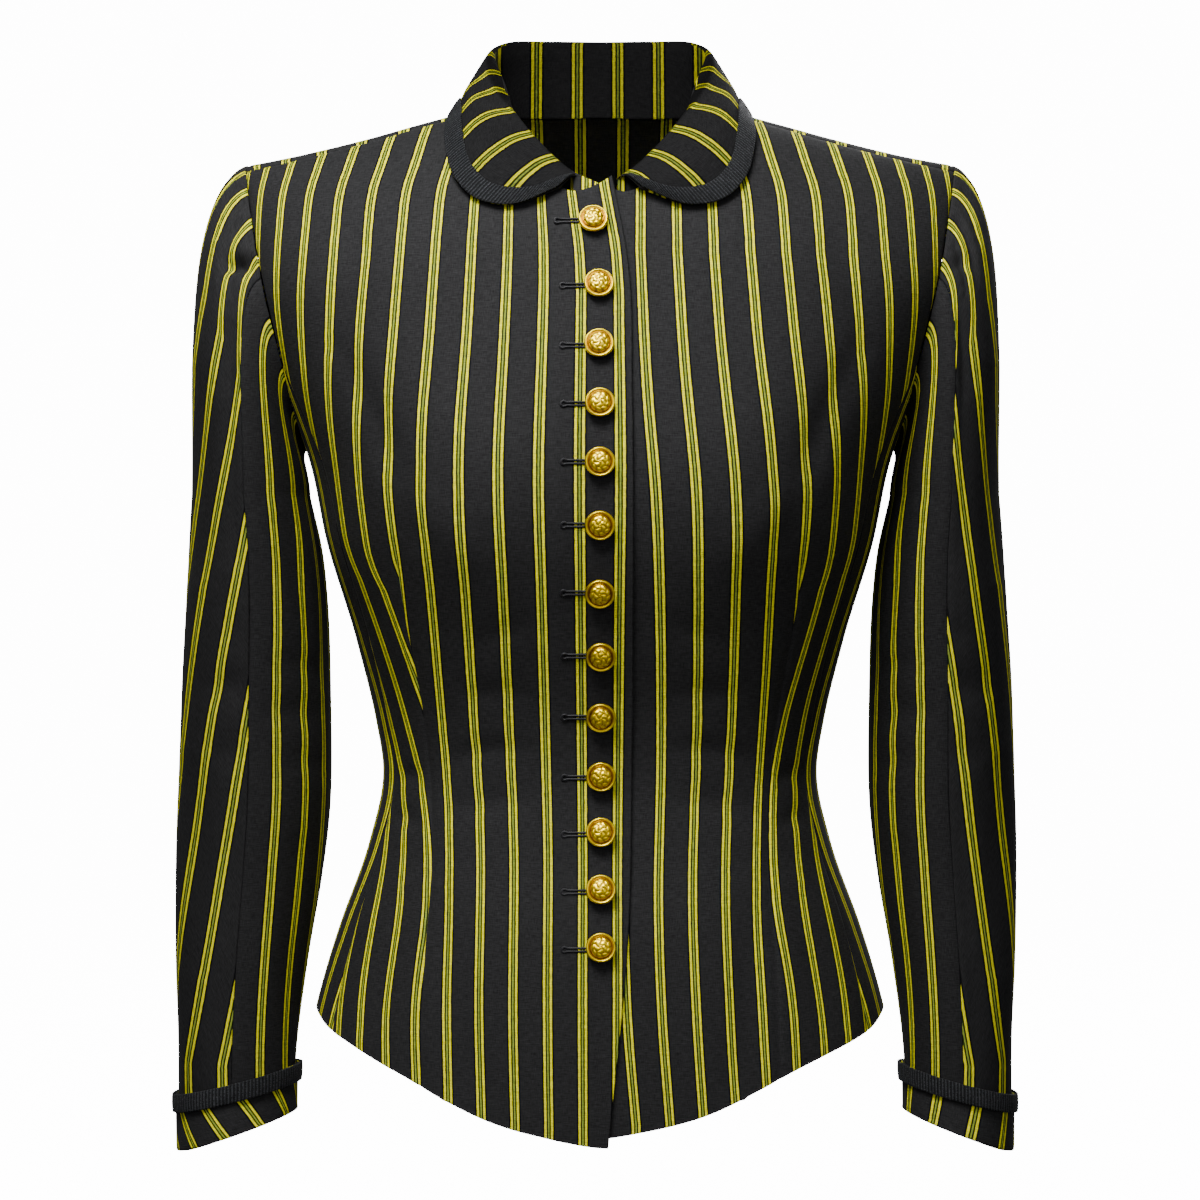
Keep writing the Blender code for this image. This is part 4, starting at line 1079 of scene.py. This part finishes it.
# Collar. One piece stands up inside the neckline, rolls over and falls on the shoulders to rounded ends.
# It is cut of the striped wool, and sewn to the neckline along its inner edge.
REST = 0.0004
COLLAR = (
    # share, place on the neckline, roll x, y and z, edge across, edge height
    # The first four rows lie behind, and their places are across. The others are shares of the
    # front neckline.
    (0.0, 0.0, 0.0, 0.056, 0.066, 0.0, 0.0), (0.14, 0.025, 0.029, 0.053, 0.066, 0.034, 0.001),
    (0.28, 0.048, 0.052, 0.04, 0.064, 0.06, 0.006), (0.4, 0.064, 0.061, 0.02, 0.056, 0.074, 0.013),
    (0.5, 1.0, 0.0595, 0.002, 0.043, 0.078, 0.019), (0.6, 0.93, 0.0525, -0.018, 0.0275, 0.081, 0.012),
    (0.7, 0.8, 0.0445, -0.038, 0.0145, 0.082, -0.002),
    (0.8, 0.62, 0.0355, -0.054, 0.002, 0.0755, -0.0245),
    (0.88, 0.45, 0.0265, -0.066, -0.0085, 0.0615, -0.0365),
    (0.94, 0.31, 0.0195, -0.072, -0.0155, 0.044, -0.0385),
    (1.0, 0.2, 0.0115, -0.077, -0.0215, 0.0215, -0.031),
)
NECK_MIDDLE = np.array([0.0, -0.020, 0.0])
STAND_DEPTH = 0.0015
BEHIND = 4
ROLL = 0.0028
PRESSED = 0.0002
STAND_PUSH = 0.0040
GUIDES_AT = (0.0, 0.15, 0.30, 0.38, 0.46, 0.54, 0.77, 1.0)
COLLAR_PATTERN = (
    # share round the collar, stripes from centre back on the wearer's right and left
    (0.0, -0.06, 0.06), (0.14, 1.22, 1.34), (0.28, 2.28, 2.38), (0.4, 3.45, 3.55), (0.5, 4.5, 4.7),
    (0.57, 5.5, 5.72), (0.67, 6.5, 6.72), (0.79, 7.5, 7.72), (0.9, 8.5, 8.72), (1.0, 9.22, 9.75),
)
COLLAR_LEAN = (
    # share round the collar, stripes by which the pattern leans at its edge
    (0.0, 0.0), (0.28, 0.0), (0.42, 0.45), (0.52, 0.9), (0.64, 0.9), (0.72, 0.55), (0.8, 0.25),
    (0.9, 0.08), (1.0, 0.0),
)
BACK_STRIPE = 0.0227
# Painted shade: the collar is painted darker, and the inside of the stand darker still
FALL_PAINTED_SHADE = -0.48
STAND_PAINTED_SHADE = -0.78
ROLL_STEP = 11  # steps across the collar from its base to the top of the roll
BULGE = (0.0056, 0.04)  # how far the fall is rounded out, and the width that gives all of it


def on_body(x, z, behind, stand_off):
    """A point off the body at a place across and a height, and the way out of the body there."""
    turn = turn_at(x, z)
    drop = drop_at(turn, z)
    sign = -1.0 if behind else 1.0
    along = body(turn + 0.01, sign * drop) - body(turn - 0.01, sign * drop)
    down = body(turn, sign * (drop + 0.002)) - body(turn, sign * max(drop - 0.002, 0.0005))
    way = unit(np.cross(along, down) if behind else np.cross(down, along))
    return body(turn, sign * drop) + way * stand_off, way


def neckline(place, behind):
    """A point inside the neckline, where the stand begins."""
    if behind:
        point = body(np.arcsin(place / SHOULDER_WIDTH), -curve(BACK_NECK, place))
    else:
        x = float(curve(FRONT_NECK, place))
        z = float(through(column(FRONT_NECK, 0), neck_heights(FRONT_NECK, x), place))
        turn = turn_at(x, z)
        point = body(turn, drop_at(turn, z))
    inward = unit((NECK_MIDDLE - point) * (1, 1, 0)) * (2 * CLOTH + 5 * REST)
    return point + inward - np.array([0, 0, STAND_DEPTH])


def collar_guides():
    """The base, the roll, the edge and the way out at the edge, for each row of the table."""
    guides = []
    for number, (_, place, *roll, edge_x, edge_z) in enumerate(COLLAR):
        behind = number < BEHIND
        over_lap = LAP * min(1.0, max(0.0, (0.048 - edge_x) / 0.02)) if not behind else 0.0
        edge, way = on_body(edge_x, edge_z, behind, CLOTH + 2 * REST + over_lap)
        guides.append(np.concatenate([neckline(place, behind), roll, edge, way]))
    return np.array(guides)


def lengths(line):
    """Distance along a line of points to each of them."""
    return np.concatenate([[0], np.cumsum(np.linalg.norm(np.diff(line, axis=0), axis=1))])


def collar(around, across):
    """A grid of the collar's showing side. Around goes from -1 to 1, across from the base to the edge."""
    guides = through(column(COLLAR, 0), collar_guides(), np.abs(around))
    lines = []
    for sign, guide in zip(np.sign(around), guides):
        base, roll, edge, way = guide.reshape(4, 3)
        stand = roll - base
        height = np.linalg.norm(stand)
        stand = stand / height
        radius = min(ROLL, 0.35 * height)
        fall = edge - roll
        out = unit(fall - stand * fall.dot(stand))
        centre = roll - stand * radius
        steep = math.atan2(-fall.dot(stand) - radius, fall.dot(out))
        angles = np.linspace(0, math.pi / 2 + steep, 4)
        turns = [centre + radius * (stand * math.sin(a) - out * math.cos(a)) for a in angles]
        bulge = BULGE[0] * min(1.0, np.linalg.norm(fall) / BULGE[1])
        middle = (turns[-1] + edge) / 2 + way * bulge
        knots = np.array([base, (base + turns[0]) / 2, *turns, middle, edge])
        run = lengths(knots)
        line = through(run, knots, np.interp(across, GUIDES_AT, run))
        line[:, 0] *= 1.0 if sign >= 0 else -1.0
        lines.append(line)
    return np.array(lines)


COLLAR_HALF = shares((0.994, 80), (0.999, 1), (1.0, 1))
COLLAR_AROUND = np.concatenate([-COLLAR_HALF[:0:-1], COLLAR_HALF])
COLLAR_ACROSS = shares((0.01, 1), (0.36, 12), (0.56, 14), (0.985, 22), (1.0, 2))
collar_side, collar_in = np.sign(COLLAR_AROUND), COLLAR_ACROSS[::-1]
points = collar(COLLAR_AROUND, COLLAR_ACROSS)[:, ::-1]
# Beside the neck the stand is pushed in, clear of the fall
beside = through((0.0, 0.36, 0.46, 0.58, 0.68, 1.0), (0.0, 0.0, 1.0, 1.0, 0.0, 0.0), np.abs(COLLAR_AROUND))
below = through((0.0, 0.14, 0.26, 0.38, 1.0), (0.0, 0.8, 1.0, 0.0, 0.0), collar_in)
points[..., 0] -= STAND_PUSH * (collar_side * beside)[:, None] * below
places = [curve(COLLAR_PATTERN, np.abs(COLLAR_AROUND), n) for n in (1, 2)]
lean = collar_side * curve(COLLAR_LEAN, np.abs(COLLAR_AROUND))
stripe = np.where(COLLAR_AROUND < 0, -places[0], places[1])[:, None]
stripe = stripe - lean[:, None] * np.clip((collar_in - 0.46) / 0.54, 0, 1) ** 1.4
# The stand is striped straight up and down, and the fall from the roll to its edge
roll_column = len(COLLAR_ACROSS) - 1 - ROLL_STEP
upright = points[..., 0] / BACK_STRIPE + 0.06
leap = upright[:, roll_column] - stripe[:, roll_column]
stripe[:, roll_column:] = upright[:, roll_column:] - leap[:, None]
# Painted shade, deepest on the stand below the roll
stand_share = np.clip((0.50 - collar_in) / 0.06, 0, 1)
painted_shading = FALL_PAINTED_SHADE + (STAND_PAINTED_SHADE - FALL_PAINTED_SHADE) * stand_share, FALL_PAINTED_SHADE
left, right, low, high = runs(points)
# The stand and the roll are pressed thin, so that their wrong side stays inside the fold
wall = CLOTH - (CLOTH - PRESSED) * np.clip((0.86 - collar_in) / 0.16, 0, 1)
made = shell("collar_cloth", points, stripe, left / RUN, wall, jump=(roll_column, leap), painted_shading=painted_shading)
dress(made, STRIPED, "striped_cloth", "collar")

# Collar trim. The same braid is folded over the collar's outer edge, from one front end to the other,
# and stitched down along its inner edge.
PAST_EDGE = 0.0008
TRIM_WIDTHS = (
    # share round the collar, width of the trim
    (0.0, 0.0118), (0.36, 0.0118), (0.5, 0.008), (0.62, 0.0112), (0.9, 0.0118), (0.96, 0.0124),
    (1.0, 0.0145),
)


def trim_lines(lines, steps):
    """For each line of the collar, points from the edge inwards over the trim's width."""
    made = []
    for line, width in zip(lines, curve(TRIM_WIDTHS, np.abs(COLLAR_AROUND))):
        run = lengths(line[::-1])
        places = width * steps - PAST_EDGE
        inner = np.stack([np.interp(places, run, line[::-1, axis]) for axis in range(3)], -1)
        made.append(inner + np.maximum(-places, 0)[:, None] * unit(line[-1] - line[-2]))
    return np.array(made)


trim_steps = shares((0.06, 1), (0.94, 9), (1.0, 1))
points = trim_lines(collar(COLLAR_AROUND, np.linspace(0, 1, 90)), trim_steps)
dome = 0.0005 * np.sin(np.pi * trim_steps)[None, :, None]
points = points + outward(points) * (0.0003 + TRIM_WALL + dome)
left, right, low, high = runs(points)
along = np.broadcast_to(low[:, :1] / RUN, left.shape)
collar_trim = shell("collar_trim_braid", points, along, left / RUN, TRIM_WALL)
dress(collar_trim, BRAID, "black_trim", "collar_trim")

# Buttons. Thirteen domed metal buttons with a round rim and a rosette of turned leaves, gilt over
# brass, each on its own shank. They are sewn down the left front and come through the lap.
BUTTON_ROWS = (
    # height of its middle, place across, how much further it stands out
    (-0.0485, -0.0035, -0.0006), (-0.083, -0.0005, -0.0004), (-0.1149, -0.0005, -0.0002),
    (-0.1458, 0.0, -0.0001), (-0.1759, 0.0, -0.0001), (-0.2081, 0.0, -0.0002), (-0.2428, 0.0, -0.0001),
    (-0.2758, 0.0005, -0.0002), (-0.3081, 0.0005, 0.0003), (-0.3404, 0.0005, 0.0004),
    (-0.3706, 0.0005, 0.0), (-0.4007, 0.0005, -0.0001), (-0.4303, 0.0005, -0.0002),
)
BUTTON_PROFILE = (
    # distance along it, from the axis, above the cloth
    (0.0, 0.0, 0.0006), (1.0, 0.002, 0.0006), (1.2, 0.0021, 0.001), (2.0, 0.0021, 0.0022),
    (2.3, 0.0026, 0.0024), (4.0, 0.0066, 0.0025), (5.0, 0.0078, 0.0034), (5.4, 0.0078, 0.004),
    (5.9, 0.0073, 0.0047), (6.4, 0.0066, 0.0047), (6.8, 0.0061, 0.0046), (7.6, 0.005, 0.0059),
    (8.6, 0.0035, 0.0067), (10.0, 0.0, 0.0073),
)
BUTTON_SIDES = 84
BUTTON_FACE = 4.8  # distance along the profile where the upper side begins
BUTTON_TIP = 9.95
RELIEF = 0.00050
gilt, tree, shader = material("gilt_brass")
chart, _, relief_place = charted(tree)
tarnish = noise(tree, chart, 9.0, 3.0)
# Painted shade and highlight: the colour follows the relief's height, dark in the hollows and bright on the
# tops, with uneven tone from the tarnish noise
relief_shade = maths(tree, "MULTIPLY", maths(tree, "SUBTRACT", tarnish, 0.5), 0.2)
relief_shade = maths(tree, "ADD", relief_place, relief_shade)
GILT_STOPS = (
    # height of the relief, colour; low ground painted dark and raised parts light, as painted shade and
    # highlight
    (0.10, (0.165, 0.068, 0.0)), (0.36, (0.720, 0.450, 0.0)), (0.90, (0.960, 0.750, 0.0)),
)
plated = (
    ("Base Color", ramp(tree, relief_shade, GILT_STOPS)),
    ("Roughness", spread(tree, tarnish, 0.3, 0.7, 0.31, 0.38)),
    ("Normal", bump(tree, tarnish, 0.08, 0.0002)),
    ("Metallic", 1.0),
)
feed(tree, shader, plated)
steps = np.concatenate([np.linspace(0, BUTTON_FACE, 12)[:-1], np.linspace(BUTTON_FACE, 10.0, 36)])
radius, lift = (curve(BUTTON_PROFILE, steps, n)[:, None] for n in (1, 2))
angle = np.linspace(0, 2 * np.pi, BUTTON_SIDES + 1)[:-1][None]
face = (steps > BUTTON_FACE)[:, None]
rim = np.exp(-(((radius - 0.0071) / 0.0006) ** 2))
leaves = np.exp(-(((radius - 0.0045) / 0.0009) ** 4)) * np.abs(np.cos(4.5 * angle - 750 * radius)) ** 0.7
petals = np.exp(-(((radius - 0.0022) / 0.0012) ** 4)) * np.abs(np.cos(2.5 * angle + 650 * radius)) ** 0.7
boss = np.exp(-((radius / 0.0008) ** 4))
relief = np.where(face, 0.85 * rim + 0.95 * leaves + 0.95 * petals + 0.8 * boss, 0.0)
relief *= np.where(steps > BUTTON_TIP, 0, 1)[:, None]
reach = radius + 0.0001 * rim * face
z = lift + RELIEF * relief
button_points = np.stack([reach * np.cos(angle), reach * np.sin(angle), z], -1).reshape(-1, 3)
corners = cells(len(steps) - 1, BUTTON_SIDES)
faces = np.stack([r * BUTTON_SIDES + c % BUTTON_SIDES for r, c in corners], -1)
chart = np.stack([np.stack([c / 12, relief[r, c % BUTTON_SIDES] * 0.8 + 0.1], -1) for r, c in corners], 1)
for number, (height, across, further) in enumerate(BUTTON_ROWS, 1):
    name = f"button_{number:02d}"
    button = placed(f"{name}_gilt", woven_mesh(f"{name}_gilt", button_points, faces, chart))
    button.data.validate()
    button.location, way = on_body(across, height, False, LAP + further)
    button.rotation_mode = "QUATERNION"
    tilt = Euler((math.acos(way[2]), 0, math.atan2(way[0], -way[1]))).to_quaternion()
    own = Euler((0, 0, 0.35 * math.sin(2.1 * number))).to_quaternion()
    button.rotation_quaternion = tilt @ own
    dress(button, gilt, "gilt_button", name)

# Buttonholes. Each is a level slit with an eyelet at its outer end, cut in the right front and worked
# round in black silk.
HOLE_REACH = 0.0190  # from the button's middle to the eyelet's middle
HOLE_START = 0.0015
HOLE_HALF = 0.00085
EYELET = 0.0014
EYELET_GAP = 0.72  # half the eyelet's open angle
HOLE_LIFTS = (5, -1, -2, 0, 1, -1, -3, -4, -6, -7, -7, -8, -9)  # tenths of a millimetre
SILK_SIDES = 7
STITCHES = (0.00075, 0.00052)  # thickness of the silk at and between its stitches
silk, tree, shader = material("black_silk")
twist = noise(tree, put(tree, "ShaderNodeUVMap", uv_map="weave"), 30.0, 2.0)
dyed = (
    ("Base Color", ramp(tree, twist, ((0.3, (0.002, 0.002, 0.003)), (0.7, (0.012, 0.012, 0.014))))),
    ("Normal", bump(tree, twist, 0.5, 0.0002)),
    ("Roughness", 0.45),
    ("Specular IOR Level", 0.25),
)
feed(tree, shader, dyed)
slit = [-HOLE_START - (HOLE_REACH - 0.0027) * share for share in np.linspace(0, 1, 34)]
eyelet = [(math.cos(turn), math.sin(turn)) for turn in np.linspace(EYELET_GAP, 2 * math.pi - EYELET_GAP, 24)]
hole_line = [(x, HOLE_HALF) for x in slit]
hole_line += [(-HOLE_REACH + EYELET * x, EYELET * z) for x, z in eyelet]
hole_line += [(x, -HOLE_HALF) for x in slit[::-1]]
thick = np.where(np.arange(len(hole_line)) % 2 == 0, *STITCHES)[:, None, None]
turns = np.linspace(0, 2 * np.pi, SILK_SIDES + 1)[:-1][None, :, None]
corners = cells(len(hole_line) - 1, SILK_SIDES)
ring_faces = np.stack([r * SILK_SIDES + c % SILK_SIDES for r, c in corners], -1)
ring_chart = np.stack([np.stack([r * 0.05, c * 0.1], -1) for r, c in corners], 1)
points, faces = [], []
for number, ((height, across, _), up) in enumerate(zip(BUTTON_ROWS, HOLE_LIFTS)):
    line = [on_body(-across - x, height + up / 10000 + z, False, LAP + 0.0001) for x, z in hole_line]
    centre, ways = (np.array(part) * (-1, 1, 1) for part in zip(*line))
    beside = np.cross(unit(np.gradient(centre, axis=0)), ways)
    round_thread = beside[:, None] * np.cos(turns) + ways[:, None] * np.sin(turns)
    points.append((centre[:, None] + thick * round_thread).reshape(-1, 3))
    faces.append(ring_faces + number * len(points[0]))
chart = np.tile(ring_chart, (len(points), 1, 1))
mesh = woven_mesh("buttonhole_silk", np.concatenate(points), np.concatenate(faces), chart)
dress(placed("buttonhole_silk", mesh), silk, "black_trim")
